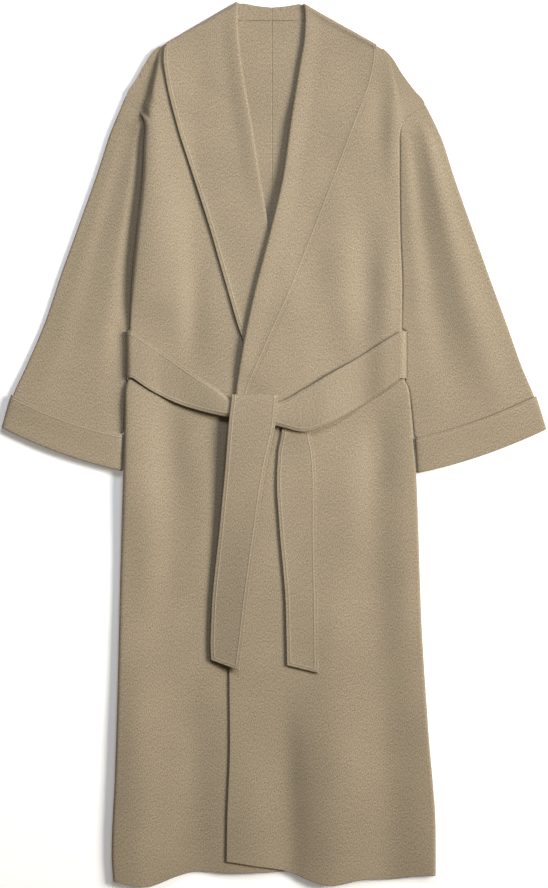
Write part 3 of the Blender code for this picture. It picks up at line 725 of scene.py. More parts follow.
@dataclass(frozen=True)
class Body:
    """The two fronts and the two halves of the back, and the heights that all other pieces lie on."""

    collar: CollarCut = CollarCut()
    floor_level: float = 1.1
    lifted_back: float = 4.2
    front_level: float = 6.8
    flap_level: float = 6.4
    puff_width: float = 70.0
    step_width: float = 5.5
    flap_drop: Fade = Fade(452.0, 486.0)
    least_turn: float = 0.15
    squareness: float = 0.65
    belt_back_low: float = 94.0
    belt_back_high: float = 166.0
    lift_margin: float = 24.0
    lift_ramp: float = 60.0
    collar_back_edge: float = 545.0
    collar_back_rise: float = 40.0
    collar_half_width: float = 160.0
    neck_seam: float = 620.4
    neck_start: float = 300.0
    neck_flat: float = 0.34
    neck_bend: float = 1.35
    neck_rise: float = 0.5
    neck_ramp: Fade = Fade(596.0, 618.0)
    back_hem: float = -612.0
    back_hem_start: float = -400.0
    centre_seam: float = -3.0
    back_seam: float = 0.12
    back_inset: float = 1.5
    back_drop: float = 4.0
    back_drop_fade: Fade = Fade(480.0, 560.0)
    off_under_front: Fade = Fade(95.0, 14.0)
    off_collar_edge: Fade = Fade(-62.0, -6.0)
    off_collar_roll: Fade = Fade(72.0, 8.0)
    off_collar_tip: Fade = Fade(-20.0, 66.0)
    off_collar_top: Fade = Fade(430.0, 345.0)
    hem_fade: Fade = Fade(-370.0, -630.0)
    front_rows: int = 250
    front_columns: int = 62
    curl_columns: int = 12
    back_rows: int = 170
    back_columns: int = 28
    side_left: tuple = rows_of(SideRow, (
        (-645, -234, -234, 12), (-600, -237, -237, 12.5), (-480, -232, -232, 13.5),
        (-350, -228, -228, 14), (-180, -224, -224, 15.5), (-40, -220, -220, 20), (50, -218, -218, 19.5),
        (80, -217, -217, 16), (98, -212.5, -212.5, 13.3), (135, -211.5, -211.5, 13),
        (178, -210.5, -210.5, 14), (225, -208, -208, 20), (299, -201, -201, 23.5),
        (396, -191, -191, 24.0), (442, -189, -189, 23.0), (462, -187.8, -190, 21.6),
        (475, -190, -192.5, 20.3), (487, -197, -192, 19.0), (510, -216, -186.5, 18),
        (533, -203, -181, 16.5), (556, -190, -175, 14), (574, -178, -170, 10), (588, -160, -158, 6.8),
    ))
    side_right: tuple = rows_of(SideRow, (
        (-645, 236, 236, 11), (-576, 236, 236, 11), (-417, 225, 225, 11), (-258, 215, 215, 11),
        (-107, 210, 210, 11), (-35, 207, 207, 11), (50, 200, 200, 11), (80, 196.5, 196.5, 11.5),
        (97, 189.5, 189.5, 12.5), (135, 188, 188, 12.5), (178, 186.5, 186.5, 11.5),
        (225, 187, 187, 9.2), (310, 184, 184, 8.4), (400, 183, 183, 8.4), (443, 183, 183, 8.4),
        (468, 187, 185, 8.4), (485, 202, 184, 8.5), (497, 221, 182, 8.5), (520, 204, 179, 8),
        (543, 187, 174, 7.5), (567, 172, 168, 7), (586, 152, 150, 6.8),
    ))
    rows_left: tuple = rows_of(FrontRow, (
        (-624, -638, 1), (-560, -565, 1), (-450, -450, 1), (-300, -300, 1), (-150, -150, 1),
        (-10, -10, 1), (50, 50, 1), (88, 88, 1), (132, 135, 1), (180, 178, 1), (232, 228, 1),
        (333, 322, 1), (410, 388, 1), (450, 424, 1), (474, 448, 0.8), (496, 470, 0.52), (516, 488, 0.1),
        (545, 510, 0), (575, 533, 0), (600, 556, 0), (620, 574, 0), (636, 582, 0),
    ))
    rows_right: tuple = rows_of(FrontRow, (
        (-618, -632, 1), (-560, -565, 1), (-440, -440, 1), (-300, -300, 1), (-150, -150, 1),
        (-10, -10, 1), (50, 50, 1), (86, 84, 1), (135, 135, 1), (180, 178, 1), (232, 228, 1),
        (335, 325, 1), (410, 388, 1), (448, 424, 1), (472, 448, 0.7), (493, 468, 0.3), (513, 485, 0),
        (540, 497, 0), (572, 520, 0), (600, 543, 0), (618, 567, 0), (633, 579, 0),
    ))
    edge_left: tuple = rows_of(EdgeRow, (
        (-645, 70), (-450, 70), (-300, 68), (-150, 62), (-10, 49),
    ))
    edge_right: tuple = rows_of(EdgeRow, (
        (-645, -70), (-560, -69), (-440, -65), (-300, -66), (-150, -63), (-10, -59),
    ))
    hem_left: tuple = rows_of(Wave, ((-190, 13, 36), (-112, -6, 34)))
    hem_right: tuple = rows_of(Wave, ((80, 21.5, 48), (165, 8, 42), (-75, -6, 42)))
    folds: tuple = rows_of(Fold, (
        (-118, 320, -120, 80, 15, 20, -4.5), (-146, 430, -141, 110, 36, 24, 7.0),
        (-155, 85, -164, -110, 20, 26, -4.2), (-186, -210, -193, -800, 40, 50, 9.8),
        (-120, -260, -116, -800, 34, 30, -3.4), (-172, 70, -186, -330, 24, 30, 5.0),
        (-100, 60, -112, -260, 26, 24, 2.8), (134, 390, 136, 80, 20, 24, -3.4),
        (98, 390, 105, 70, 34, 24, 4.8), (166, 370, 165, 80, 20, 16, 3.9),
        (155, 90, 152, -110, 20, 26, -4.5), (112, 60, 122, -240, 28, 28, 3.4),
        (14, -290, 30, -800, 24, 20, -4.2), (88, -90, 86, -960, 46, 62, 9.5),
        (168, -280, 170, -800, 34, 30, -2.8), (185, 40, 196, -420, 30, 28, 4.2),
        (-40, -330, -30, -800, 40, 34, 2.8), (-158, 560, -150, 380, 16, 18, -2.8),
        (160, 570, 152, 400, 16, 20, -3.4), (176, 560, 172, 330, 12, 12, 2.8),
    ))
    wide_ripple: Ripple = Ripple(0.9, 0.12, 62.0, 150.0, 11)
    fine_ripple: Ripple = Ripple(0.3, -0.2, 24.0, 58.0, 23)

    def side(self, hand: Hand) -> tuple:
        """Return the table of one side of the body."""
        return hand.of(self.side_left, self.side_right)

    def rows(self, hand: Hand) -> tuple:
        """Return the table of sections of one front."""
        return hand.of(self.rows_left, self.rows_right)

    def belt_lift(self, y: Array) -> Array:
        """Return the rise of the back over the belt under it, with smooth ramps on both sides.

        Args:
            y: Places along Y.

        Returns:
            The rise there.
        """
        low, high = self.belt_back_low - self.lift_margin, self.belt_back_high + self.lift_margin
        over = Fade(low - self.lift_ramp, low).at(y) * Fade(high + self.lift_ramp, high).at(y)
        return (self.lifted_back - self.floor_level) * over

    def back_lift(self, x: Array, y: Array) -> Array:
        """Return the rise of the back over what lies under it: the belt, and the collar near the neck.

        Args:
            x: Places along X.
            y: Places along Y.

        Returns:
            The rise there.
        """
        bow = self.collar_back_rise * (x / self.collar_half_width)**2
        edge = self.collar_back_edge + bow - self.lift_margin
        over = Fade(-self.lift_ramp, 0.0).at(y - edge)
        return np.maximum(self.belt_lift(y), (self.lifted_back - self.floor_level) * over)

    def fold_radius(self, y: Array, hand: Hand) -> Array:
        """Return the radius of the side fold, from its crest down to the level of the back."""
        crest = curve(self.side(hand), "crest", y)
        return (crest - self.floor_level - CLOTH.seam_gap / 2 - self.belt_lift(y)) / 2

    def side_height(self, x: Array, y: Array, hand: Hand) -> Array:
        """Return the height of a front alone: level in the middle, up to its side fold, down outside it.

        Args:
            x: Places along X.
            y: Places along Y.
            hand: Which front.

        Returns:
            The height there.
        """
        crest = curve(self.side(hand), "crest", y)
        crease = np.abs(curve(self.side(hand), "crease", y)) - self.fold_radius(y, hand)
        inside = crease - x * hand.sign
        level = self.front_level + self.belt_lift(y)
        puff = level + (crest - level) * Fade(self.puff_width, 0.0).at(inside)
        flap = crest + (self.flap_level - crest) * self.flap_drop.at(y)
        step = flap + (crest - flap) * Fade(-self.step_width, 0.0).at(inside)
        return np.where(inside > 0, puff, step)

    def folds_height(self, x: Array, y: Array) -> Array:
        """Return the height of the folds: a soft bell across each fold's line, fading at its ends.

        Args:
            x: Places along X.
            y: Places along Y.

        Returns:
            The height there.
        """
        height = np.zeros(np.broadcast(x, y).shape)
        for fold in self.folds:
            part = np.clip((y - fold.y0) / (fold.y1 - fold.y0), 0.0, 1.0)
            away = x - (fold.x0 + (fold.x1 - fold.x0) * part)
            width = np.where(away < 0, fold.left, fold.right)
            height = height + fold.height * np.sin(np.pi * part)**2 * np.exp(-(away / width)**2)
        return height

    def wrinkle(self, x: Array, y: Array) -> Array:
        """Return small unevenness of the cloth, drawn out along its length."""
        return self.wide_ripple.at(x, y) + self.fine_ripple.at(x, y)

    def front_edge(self, y: Array, hand: Hand) -> Array:
        """Return X of a front's inner edge: free below the collar, sewn to the strip inside its roll above.

        Args:
            y: Places along Y.
            hand: Which front.

        Returns:
            X there.
        """
        free = hand.of(self.edge_left, self.edge_right)
        sewn = self.collar.strip + self.collar.front_gap
        fall = self.collar.fall(hand)
        rolled = tuple(EdgeRow(row.roll_y, row.roll_x + hand.sign * (row.radius + sewn)) for row in fall)
        return curve(free + rolled, "x", y)

    def height(self, x: Array, y: Array, hand: Hand) -> Array:
        """Return the height of a front. The over front is up a layer on the under front, and on its collar.

        Args:
            x: Places along X.
            y: Places along Y.
            hand: Which front.

        Returns:
            The height there.
        """
        height = self.side_height(x, y, hand) + self.folds_height(x, y) + self.wrinkle(x, y)
        clear = self.floor_level + self.back_lift(x, y) + CLOTH.wall + CLOTH.layer_gap / 2
        height = np.maximum(height, clear)
        if hand is Hand.LEFT:
            return height
        over_front = self.off_under_front.at(x - self.front_edge(y, Hand.LEFT))
        fall = np.array([(row.roll_y, row.roll_x, row.edge_x) for row in self.collar.fall(Hand.LEFT)])
        roll, outer = (np.interp(y, fall[:, 0], fall[:, k]) for k in (1, 2))
        across = self.off_collar_edge.at(x - outer) * self.off_collar_roll.at(x - roll)
        over_collar = across * self.off_collar_tip.at(y) * self.off_collar_top.at(y)
        return height + CLOTH.layer * (over_front + over_collar)

    def hem_shift(self, x: Array, y: Array, hand: Hand) -> Array:
        """Return the shift of the hem along Y: a bell for each wave, fading upwards.

        Args:
            x: Places along X.
            y: Places along Y.
            hand: Which front.

        Returns:
            The shift there.
        """
        waves = hand.of(self.hem_left, self.hem_right)
        drop = sum(wave.drop * np.exp(-((x - wave.x) / wave.width)**2) for wave in waves)
        return -drop * self.hem_fade.at(y)

    def front(self, hand: Hand) -> Sheet:
        """Return a front: straight sections from its inner edge, then the side fold turning under.

        Turned fully the fold is a half round, squarer above, that ends on the back. It opens out near the
        shoulder, to lie flat on the dropped shoulder and along the armhole seam.

        Args:
            hand: Which front.

        Returns:
            The sheet of that front.
        """
        inner_y, outer_y, turn = even_sections(self.rows(hand), self.front_rows, ("inner_y", "outer_y"))
        inner_x = self.front_edge(inner_y, hand)
        radius = self.fold_radius(outer_y, hand)
        angle = np.pi * np.clip(turn, self.least_turn, 1.0)
        reach = radius * np.sin(np.minimum(angle, np.pi / 2))**self.squareness
        start_x = curve(self.side(hand), "edge", outer_y) - hand.sign * reach
        across = np.linspace(0, 1, self.front_columns)[None, :]
        x = inner_x + (start_x - inner_x) * across
        y = inner_y + (outer_y - inner_y) * across
        z = self.height(x, y, hand)
        steps = angle * np.linspace(0, 1, self.curl_columns + 1)[None, 1:]
        out = np.where(steps < np.pi / 2, np.sin(steps)**self.squareness, np.sin(steps))
        down = np.where(steps < np.pi / 2, np.abs(np.cos(steps))**self.squareness, np.cos(steps))
        curl_x = start_x + hand.sign * radius * out
        curl_y = np.broadcast_to(outer_y, curl_x.shape)
        crest = curve(self.side(hand), "crest", outer_y)
        slack = (z[:, -1:] - crest) * (1.0 + down) / 2
        curl_z = crest - radius * (1.0 - down) + slack
        x, y, z = (np.hstack(pair) for pair in ((x, curl_x), (y, curl_y), (z, curl_z)))
        under = (hand.of("back_left", "front_left"), "back_right")
        points = stack(x, y + self.hem_shift(x, y, hand), z)
        return Sheet(f"front_{hand.value}", points, CLOTH.wall, Lie.LAID, under)

    def back(self, hand: Hand) -> Sheet:
        """Return half the back, flat on the floor but for what lies under it.

        Args:
            hand: Which half.

        Returns:
            The sheet of that half.
        """
        _, outer_y, turn = even_sections(self.rows(hand), self.back_rows, ("inner_y", "outer_y"))
        low = Fade(self.back_hem_start, outer_y[0, 0]).at(outer_y)
        outer_y = outer_y + (self.back_hem - outer_y[0]) * low
        rise = self.neck_seam - self.back_seam - outer_y[-1]
        inner_y = outer_y + rise * Fade(self.neck_start, outer_y[-1, 0]).at(outer_y)
        inset = self.fold_radius(outer_y, hand) * np.clip(turn, 0, 1) + self.back_inset
        outer_x = curve(self.side(hand), "edge", outer_y) - hand.sign * inset
        inner_x = self.centre_seam + hand.sign * self.back_seam / 2
        across = np.linspace(0, 1, self.back_columns)[None, :]
        x = inner_x + (outer_x - inner_x) * across
        drop = np.maximum(across - self.neck_flat, 0.0) / (1.0 - self.neck_flat)
        side_y = outer_y - self.back_drop * self.back_drop_fade.at(outer_y)
        y = inner_y + (side_y - inner_y) * drop**self.neck_bend
        z = self.floor_level + self.back_lift(x, y) + self.neck_rise * self.neck_ramp.at(y)
        under = ("belt_back", f"collar_{hand.value}")
        return Sheet(f"back_{hand.value}", stack(x, y, z), CLOTH.wall, Lie.LAID, under)


@dataclass(frozen=True)
class Collar:
    """The shawl collar in two halves, each from its tip up the roll line and round to the centre back."""

    body: Body
    rows: int = 260
    roll_columns: int = 12
    fall_columns: int = 34
    settle: Fade = Fade(0.0, 26.0)
    wrap_tilt: Fade = Fade(0.0, 45.0)
    sway: float = 0.8
    sway_least: float = -0.4
    sway_slant: float = 0.3
    sway_cell: tuple = (48.0, 95.0)
    sway_seed: int = 31
    edge_lift: float = 0.9
    edge_curl: Fade = Fade(14.0, 0.0)
    on_front: Fade = Fade(60.0, 0.0)
    off_roll: Fade = Fade(0.0, 20.0)

    def half(self, hand: Hand) -> Sheet:
        """Return one half of the collar.

        Each section runs along the strip, round the roll and down the fall. Places on it are measured along
        the fall and away from the garment. The outer face tilts from up to down over the shoulder.

        Args:
            hand: Which half.

        Returns:
            The sheet of that half.
        """
        cut = self.body.collar
        flat = (0.0, self.body.front_level, CLOTH.layer, cut.strip, 0.0)
        table = [WrapRow(*row, *flat) for row in cut.fall(hand)] + list(cut.wrap(hand))
        columns = even_sections(table, self.rows, ("roll_x", "roll_y", "edge_x", "edge_y"))
        roll_x, roll_y, edge_x, edge_y, radius, tilt, level, lift, stand, inset = columns
        width = np.hypot(edge_x - roll_x, edge_y - roll_y)
        toward_x, toward_y = (edge_x - roll_x) / width, (edge_y - roll_y) / width
        turn = np.linspace(0, np.pi, self.roll_columns + 1)[None, :]
        part = np.linspace(0, 1, self.fall_columns + 1)[None, 1:]
        fall = radius + (width - radius) * part
        along = np.hstack((radius + stand, radius - radius * np.sin(turn), fall))
        high = inset + 2 * radius
        settled = high + (lift - high) * self.settle.at(fall - radius)
        noise = soft_noise(fall, roll_y + self.sway_slant * fall, *self.sway_cell, self.sway_seed)
        loose = np.clip(noise, self.sway_least, 1.0) * self.sway
        curled = self.edge_lift * self.edge_curl.at(width - fall)
        front = self.on_front.at(tilt) * self.off_roll.at(fall - radius)
        off = np.hstack((inset, inset + radius - radius * np.cos(turn), settled + (loose + curled) * front))
        x = roll_x + toward_x * along
        y = roll_y + toward_y * along
        angle = np.radians(np.clip(tilt, 0, 180))
        outward = np.sign(roll_x - edge_x)
        lies = self.body.height(x, y, hand)
        base = lies + (level - lies) * self.wrap_tilt.at(tilt)
        shift = off * np.sin(angle) * outward
        points = stack(x + toward_y * shift, y - toward_x * shift, base + off * np.cos(angle))
        sewn = np.hstack((np.full((self.rows, self.roll_columns + 2), NO_EDGE), width - fall))
        under = (f"front_{hand.value}",)
        return Sheet(f"collar_{hand.value}", points, CLOTH.wall, Lie.FOLDED, under, sewn)


@dataclass(frozen=True)
class Sleeves:
    """The two sleeves and their turned-back cuffs: flattened tubes close beside the body and the belt."""

    body: Body
    belt: "Belt"
    rows: int = 210
    end_columns: int = 10
    flat_columns: int = 44
    cuff_depth: float = 50.0
    cuff_roll: float = 1.5
    cuff_join: float = 9.0
    join_clear: float = 0.05
    join_rows: int = 3
    roll_rows: int = 10
    band_rows: int = 16
    clear: float = 0.45
    belt_below: Fade = Fade(93.0, 96.0)
    belt_above: Fade = Fade(169.0, 166.0)
    cuff_fade: Fade = Fade(3.6, 0.6)
    cuff_flare: float = 1.8
    flare_fade: Fade = Fade(14.0, 50.0)
    sag: float = 6.0
    sag_fade: Fade = Fade(3.2, 1.0)
    squareness: float = 0.6
    armhole: Fade = Fade(7.4, 9.0)
    armhole_gap: float = 0.7
    armhole_inset: float = 1.0
    dome: float = 1.0
    deepest: float = -2.8
    swell: Ripple = Ripple(0.9, 0.4, 46.0, 130.0, 47)
    left: tuple = rows_of(SleeveRow, (
        (-395.4, 23, -38, 9.8, 4.4), (-381.4, 71, 15, 9.8, 4.4), (-362, 114, 58, 8.2, 2.8),
        (-334, 180, 125, 6.6, 1.2), (-312, 246, 198, 6.6, 1.2), (-289, 310, 268, 6.6, 1.2),
        (-256, 403, 372, 6.6, 1.2), (-240, 453, 428, 6.6, 1.2), (-227, 485, 463, 6.6, 1.2),
        (-217.2, 509.3, 485.5, 6.6, 1.2),
    ))
    right: tuple = rows_of(SleeveRow, (
        (395.4, 21, -41, 9.8, 4.4), (380.4, 69, 9, 9.8, 4.4), (363, 111, 54, 8.2, 2.8),
        (340, 176, 122, 6.6, 1.2), (318, 236, 186, 6.6, 1.2), (295, 301, 258, 6.6, 1.2),
        (262, 395, 365, 6.6, 1.2), (247, 442, 418, 6.6, 1.2), (234, 472, 450, 6.6, 1.2),
        (222.5, 496.3, 469, 6.6, 1.2),
    ))
    folds_left: tuple = rows_of(SleeveFold, (
        (0.25, 0.40, 0.08, 1.05, 0.34, 2.2), (-0.28, -0.25, 0.1, 0.8, 0.26, -1.0),
        (-0.66, -0.55, 0.1, 0.95, 0.24, 1.2), (0.5, 0.45, 0.05, 1.1, 0.2, 1.4),
        (0.9, 0.86, 0.0, 1.1, 0.26, -4.5),
    ))
    folds_right: tuple = rows_of(SleeveFold, (
        (0.16, 0.45, 0.02, 1.0, 0.24, -2.4), (-0.5, -0.35, -0.1, 1.1, 0.34, 7.0),
        (0.62, 0.8, 0.1, 1.0, 0.22, 2.0),
    ))

    def table(self, hand: Hand) -> tuple:
        """Return the table of one sleeve."""
        return hand.of(self.left, self.right)

    def inner_x(self, y: Array, top: Array, low: Array, hand: Hand) -> Array:
        """Return X of a sleeve's inner edge, just clear of the round side fold and of the belt round it.

        The sleeve's end, the side fold and the belt's turn are taken as rounds of known radius and height.
        Two of them touch where the distance of their centres is the sum of their outer radii.

        Args:
            y: Places along the sleeve.
            top: Height of its upper cloth.
            low: Height of its lower cloth.
            hand: Which sleeve.

        Returns:
            X at each place.
        """
        half, middle = (top - low) / 2, (top + low) / 2
        above_cuff = y - self.table(hand)[1].inner_y
        reach = half + 2 * self.cuff_roll * self.cuff_fade.at(above_cuff) + CLOTH.wall / 2 + self.clear
        radius = self.body.fold_radius(y, hand)
        centre = curve(self.body.side(hand), "edge", y) - hand.sign * radius
        height = curve(self.body.side(hand), "crest", y) - radius
        apart = np.sqrt(np.maximum((radius + CLOTH.wall / 2 + reach)**2 - (height - middle)**2, 0.0))
        beside_body = centre + hand.sign * (apart - half)
        end, turn = self.belt.turn(hand)
        apart = np.sqrt((turn + CLOTH.belt_wall / 2 + reach)**2 - (turn + CLOTH.belt_wall / 2 - middle)**2)
        beside_belt = end + hand.sign * (apart - half)
        further = np.maximum((beside_belt - beside_body) * hand.sign, 0.0)
        return beside_body + hand.sign * further * self.belt_below.at(y) * self.belt_above.at(y)

    def armhole_shift(self, across: Array, hand: Hand) -> Array:
        """Return how far the last ring moves along X, from straight across to the front's armhole edge.

        Args:
            across: Places across, from -1 at the outer end to 1.
            hand: Which sleeve.

        Returns:
            The shift there.
        """
        last = self.table(hand)[-1]
        y = (last.outer_y + last.inner_y) / 2 + (last.inner_y - last.outer_y) / 2 * across
        inner_x = self.inner_x(np.array(last.inner_y), last.top, last.low, hand)
        straight = (last.outer_x + inner_x) / 2 + (inner_x - last.outer_x) / 2 * across
        return curve(self.body.side(hand), "edge", y) + hand.sign * self.armhole_gap - straight

    def rings(self, hand: Hand, at: Array, grown: Array, raised: Array) -> Array:
        """Return rings of a sleeve: two flats joined by squarish half rounds, grown outwards.

        Args:
            hand: Which sleeve.
            at: Place of each ring, in rows of the table from the folded end.
            grown: How far each ring is grown.
            raised: How far the upper side of each ring is raised.

        Returns:
            Points (rings, columns, 3), with the last column on the first.
        """
        table = self.table(hand)
        outer_x, outer_y, inner_y, top, low = sections_at(table, at)
        inner_x = self.inner_x(inner_y, top, low, hand)
        half = np.hypot(inner_x - outer_x, inner_y - outer_y) / 2
        high = (top - low) / 2
        end = np.linspace(-np.pi / 2, np.pi / 2, self.end_columns + 1)
        flat = np.linspace(1, -1, self.flat_columns + 1)[1:-1]
        straight = np.concatenate((np.ones(len(end)), flat, -np.ones(len(end)), -flat, [1.0]))[None, :]
        out = np.abs(np.cos(end))**self.squareness
        up = np.sign(end) * np.abs(np.sin(end))**self.squareness
        bulge = np.concatenate((out, 0 * flat, -out, 0 * flat, [0.0]))[None, :]
        rise = np.concatenate((up, 1 + 0 * flat, -up, -1 + 0 * flat, [-1.0]))[None, :]
        across = (straight * (half - high) + bulge * (high + grown)) / half
        x = (outer_x + inner_x) / 2 + (inner_x - outer_x) / 2 * across
        y = (outer_y + inner_y) / 2 + (inner_y - outer_y) / 2 * across
        sewn = self.armhole.at(at)[:, None]
        x = x + self.armhole_shift(across, hand) * sewn
        inward = np.clip(1.0 - across**2, 0.0, 1.0)
        y = y - self.sag * inward * self.sag_fade.at(at)[:, None]
        soft = self.dome + self.swell.at(x, y, hand.sign)
        part = at[:, None] / (len(table) - 1)
        for fold in hand.of(self.folds_left, self.folds_right):
            reach = np.clip((part - fold.start) / (fold.stop - fold.start), 0.0, 1.0)
            centre = fold.across0 + (fold.across1 - fold.across0) * part
            bell = np.exp(-((across - centre) / fold.width)**2)
            soft = soft + fold.height * np.sin(np.pi * reach)**2 * bell
        loose = np.maximum(soft, self.deepest) * np.sqrt(inward)
        level = self.body.height(x - hand.sign * self.armhole_inset, y, hand) - top
        upper = (loose + (level - loose) * sewn + raised) * np.clip(rise, 0.0, 1.0)
        return stack(x, y, (top + low) / 2 + rise * (high + grown) + upper)

    def sleeve(self, hand: Hand) -> Sheet:
        """Return a sleeve, from its join with the cuff up to the armhole seam.

        Args:
            hand: Which sleeve.

        Returns:
            The sheet of that sleeve.
        """
        table = self.table(hand)
        join = (self.cuff_roll + self.cuff_join + CLOTH.seam_gap) / self.cuff_depth
        at = even_places(table, self.rows, ("outer_y", "inner_y"))
        at = np.concatenate(([join], at[at > join + self.join_clear]))
        points = self.rings(hand, at, np.zeros((1, 1)), np.zeros((1, 1)))
        under = (f"front_{hand.value}",)
        return Sheet(f"sleeve_{hand.value}", points, CLOTH.wall, Lie.LAID, under, closed=True)

    def cuff(self, hand: Hand) -> Sheet:
        """Return a cuff: it carries the sleeve on, turns at the end and lies back over the sleeve.

        Args:
            hand: Which cuff.

        Returns:
            The sheet of that cuff.
        """
        turn = np.linspace(0, np.pi, self.roll_rows + 1)
        band = np.linspace(self.cuff_roll, self.cuff_depth, self.band_rows + 1)[1:]
        inner = np.linspace(self.cuff_roll + self.cuff_join, self.cuff_roll, self.join_rows + 1)[:-1]
        along = np.concatenate((inner, self.cuff_roll - self.cuff_roll * np.sin(turn), band))
        grown = np.concatenate((0 * inner, self.cuff_roll - self.cuff_roll * np.cos(turn),
                                np.full(len(band), 2 * self.cuff_roll)))
        raised = self.cuff_flare * self.flare_fade.at(along) * (grown > self.cuff_roll)
        points = self.rings(hand, along / self.cuff_depth, grown[:, None], raised[:, None])
        sewn = np.concatenate((np.full(len(inner) + len(turn), NO_EDGE), self.cuff_depth - band))
        name, under = f"cuff_{hand.value}", (f"sleeve_{hand.value}",)
        return Sheet(name, points, CLOTH.wall, Lie.FOLDED, under, sewn[:, None], closed=True)


@dataclass(frozen=True)
class Belt:
    """The tie belt: a strand under the back, two strands in front, and the two ends from the knot."""

    body: Body
    columns: int = 22
    strand_rows: int = 90
    curl_rows: int = 18
    tie_rows: int = 130
    roll_rows: int = 10
    knot_level: float = 24.0
    belt_line: float = 135.0
    wrap_loft: float = 1.2
    sink: float = 0.4
    crown_power: int = 4
    end_gap: float = 0.9
    settle: Fade = Fade(46.0, 0.0)
    slant_left: float = 15.0
    slant_right: float = 11.0
    slant_reach: float = 60.0
    hook: float = 14.0
    roll: float = 3.25
    roll_top: float = 71.0
    tie_loft: float = 0.6
    tie_inner: float = -60.0
    tie_crossing: float = 40.0
    tie_knot: Fade = Fade(-250.0, 34.0)
    knot_left: Fade = Fade(-175.0, -62.0)
    knot_right: Fade = Fade(135.0, 62.0)
    wrap_left: Fade = Fade(-165.0, -205.0)
    wrap_right: Fade = Fade(142.0, 182.0)
    strand_left: tuple = rows_of(BeltRow, (
        (-207.4, 97, 165, 0), (-181, 79, 147, 0), (-143, 60, 121, 0), (-119, 52, 104, 0.8),
        (-87, 44, 83, 3.0), (-63, 40, 66.5, 4.0), (-29, 38, 63, 0.6),
    ))
    strand_right: tuple = rows_of(BeltRow, (
        (-26, 32, 62, 0.6), (5, 27, 61, 3.2), (44, 18, 80, 2.6), (81, 31, 102, 0.8), (118, 51, 123, 0),
        (156, 76, 147, 0), (184.6, 96, 165, 0),
    ))
    tie_left: tuple = rows_of(TieRow, (
        (66, -62, 5.5, 0.2, 0.0), (32, -66, 2.5, 0.2, 0.0), (-43, -72, -13, 0.6, 1.0),
        (-126, -80, -25, 0.2, 4.5), (-238, -91, -40, 0, 8.0), (-300, -93, -47, 0, 8.0),
        (-331, -92, -51, 0, 7.5),
    ))
    tie_right: tuple = rows_of(TieRow, (
        (48, 13, 52, 0.6, 0), (15, 11, 54, 0.8, 0), (-13, 6, 59, 0.6, 0), (-58, 4, 62, 0.2, 0),
        (-126, 8, 62, 0, 0), (-238, 17, 64, 0, 0), (-335, 19, 65, 0, 0),
    ))

    def strand_height(self, x: Array, y: Array, hand: Hand) -> Array:
        """Return the height of a front strand: on the front, loose round the side, and up to the knot.

        Args:
            x: Places along X.
            y: Places along Y.
            hand: Which strand.

        Returns:
            The height there.
        """
        wrap = hand.of(self.wrap_left, self.wrap_right)
        knot = hand.of(self.knot_left, self.knot_right)
        line = self.body.height(x, self.belt_line + 0 * y, hand)
        carried = np.maximum(line, self.body.height(x, y, hand) - self.sink)
        rest = carried + CLOTH.belt_layer + self.wrap_loft * wrap.at(x)
        return rest + (self.knot_level - rest) * knot.at(x)

    def turn(self, hand: Hand) -> tuple[float, float]:
        """Return where a strand starts to turn round the side.

        Args:
            hand: Which strand.

        Returns:
            X of that place and the radius of the turn.
        """
        end = hand.of(self.strand_left[0].x, self.strand_right[-1].x)
        level = self.strand_height(np.full((1, 1), end), np.full((1, 1), self.belt_line), hand)[0, 0]
        return end, (level - CLOTH.belt_wall / 2) / 2

    def strand(self, hand: Hand) -> Sheet:
        """Return a front strand, with its outer end wrapped round the body's side fold.

        Args:
            hand: Which strand.

        Returns:
            The sheet of that strand.
        """
        table = hand.of(self.strand_left, self.strand_right)
        x, low, high, crown = even_sections(table, self.strand_rows, ("x",))
        across = np.linspace(0, 1, self.columns)[None, :]
        y = low + (high - low) * across
        z = self.strand_height(x, y, hand) - crown * (2 * across - 1)**self.crown_power
        end = hand.of(0, -1)
        start, radius = self.turn(hand)
        level = 2 * radius + CLOTH.belt_wall / 2
        turn = np.linspace(0, np.pi, self.curl_rows + 1)[1:, None]
        z = z + (level - z) * self.settle.at(np.abs(x - start))
        curl = stack(start + hand.sign * radius * np.sin(turn), y[end], level - radius * (1 - np.cos(turn)))
        main = stack(x, y, z)
        points = np.concatenate((curl[::-1], main)) if end == 0 else np.concatenate((main, curl))
        span = np.full((self.curl_rows, 1), high[end, 0] - low[end, 0])
        width = np.concatenate((span, high - low)) if end == 0 else np.concatenate((high - low, span))
        sewn = width * (0.5 - np.abs(across - 0.5))
        under = (f"front_{hand.value}",)
        return Sheet(f"belt_{hand.value}", points, CLOTH.belt_wall, Lie.LAID, under, sewn)

    def tie_height(self, x: Array, y: Array, hand: Hand) -> Array:
        """Return the height of a hanging end: the left comes down from the knot, the right lies flat.

        Args:
            x: Places along X.
            y: Places along Y.
            hand: Which end.

        Returns:
            The height there.
        """
        if hand is Hand.RIGHT:
            carried = self.body.height(x, np.minimum(y, self.tie_crossing), hand)
            return carried + CLOTH.belt_layer + self.tie_loft
        rest = self.body.height(np.maximum(x, self.tie_inner), y, Hand.RIGHT) + CLOTH.belt_layer
        knot = self.knot_level + CLOTH.belt_wall + CLOTH.seam_gap
        return rest + (knot - rest) * self.tie_knot.at(y)

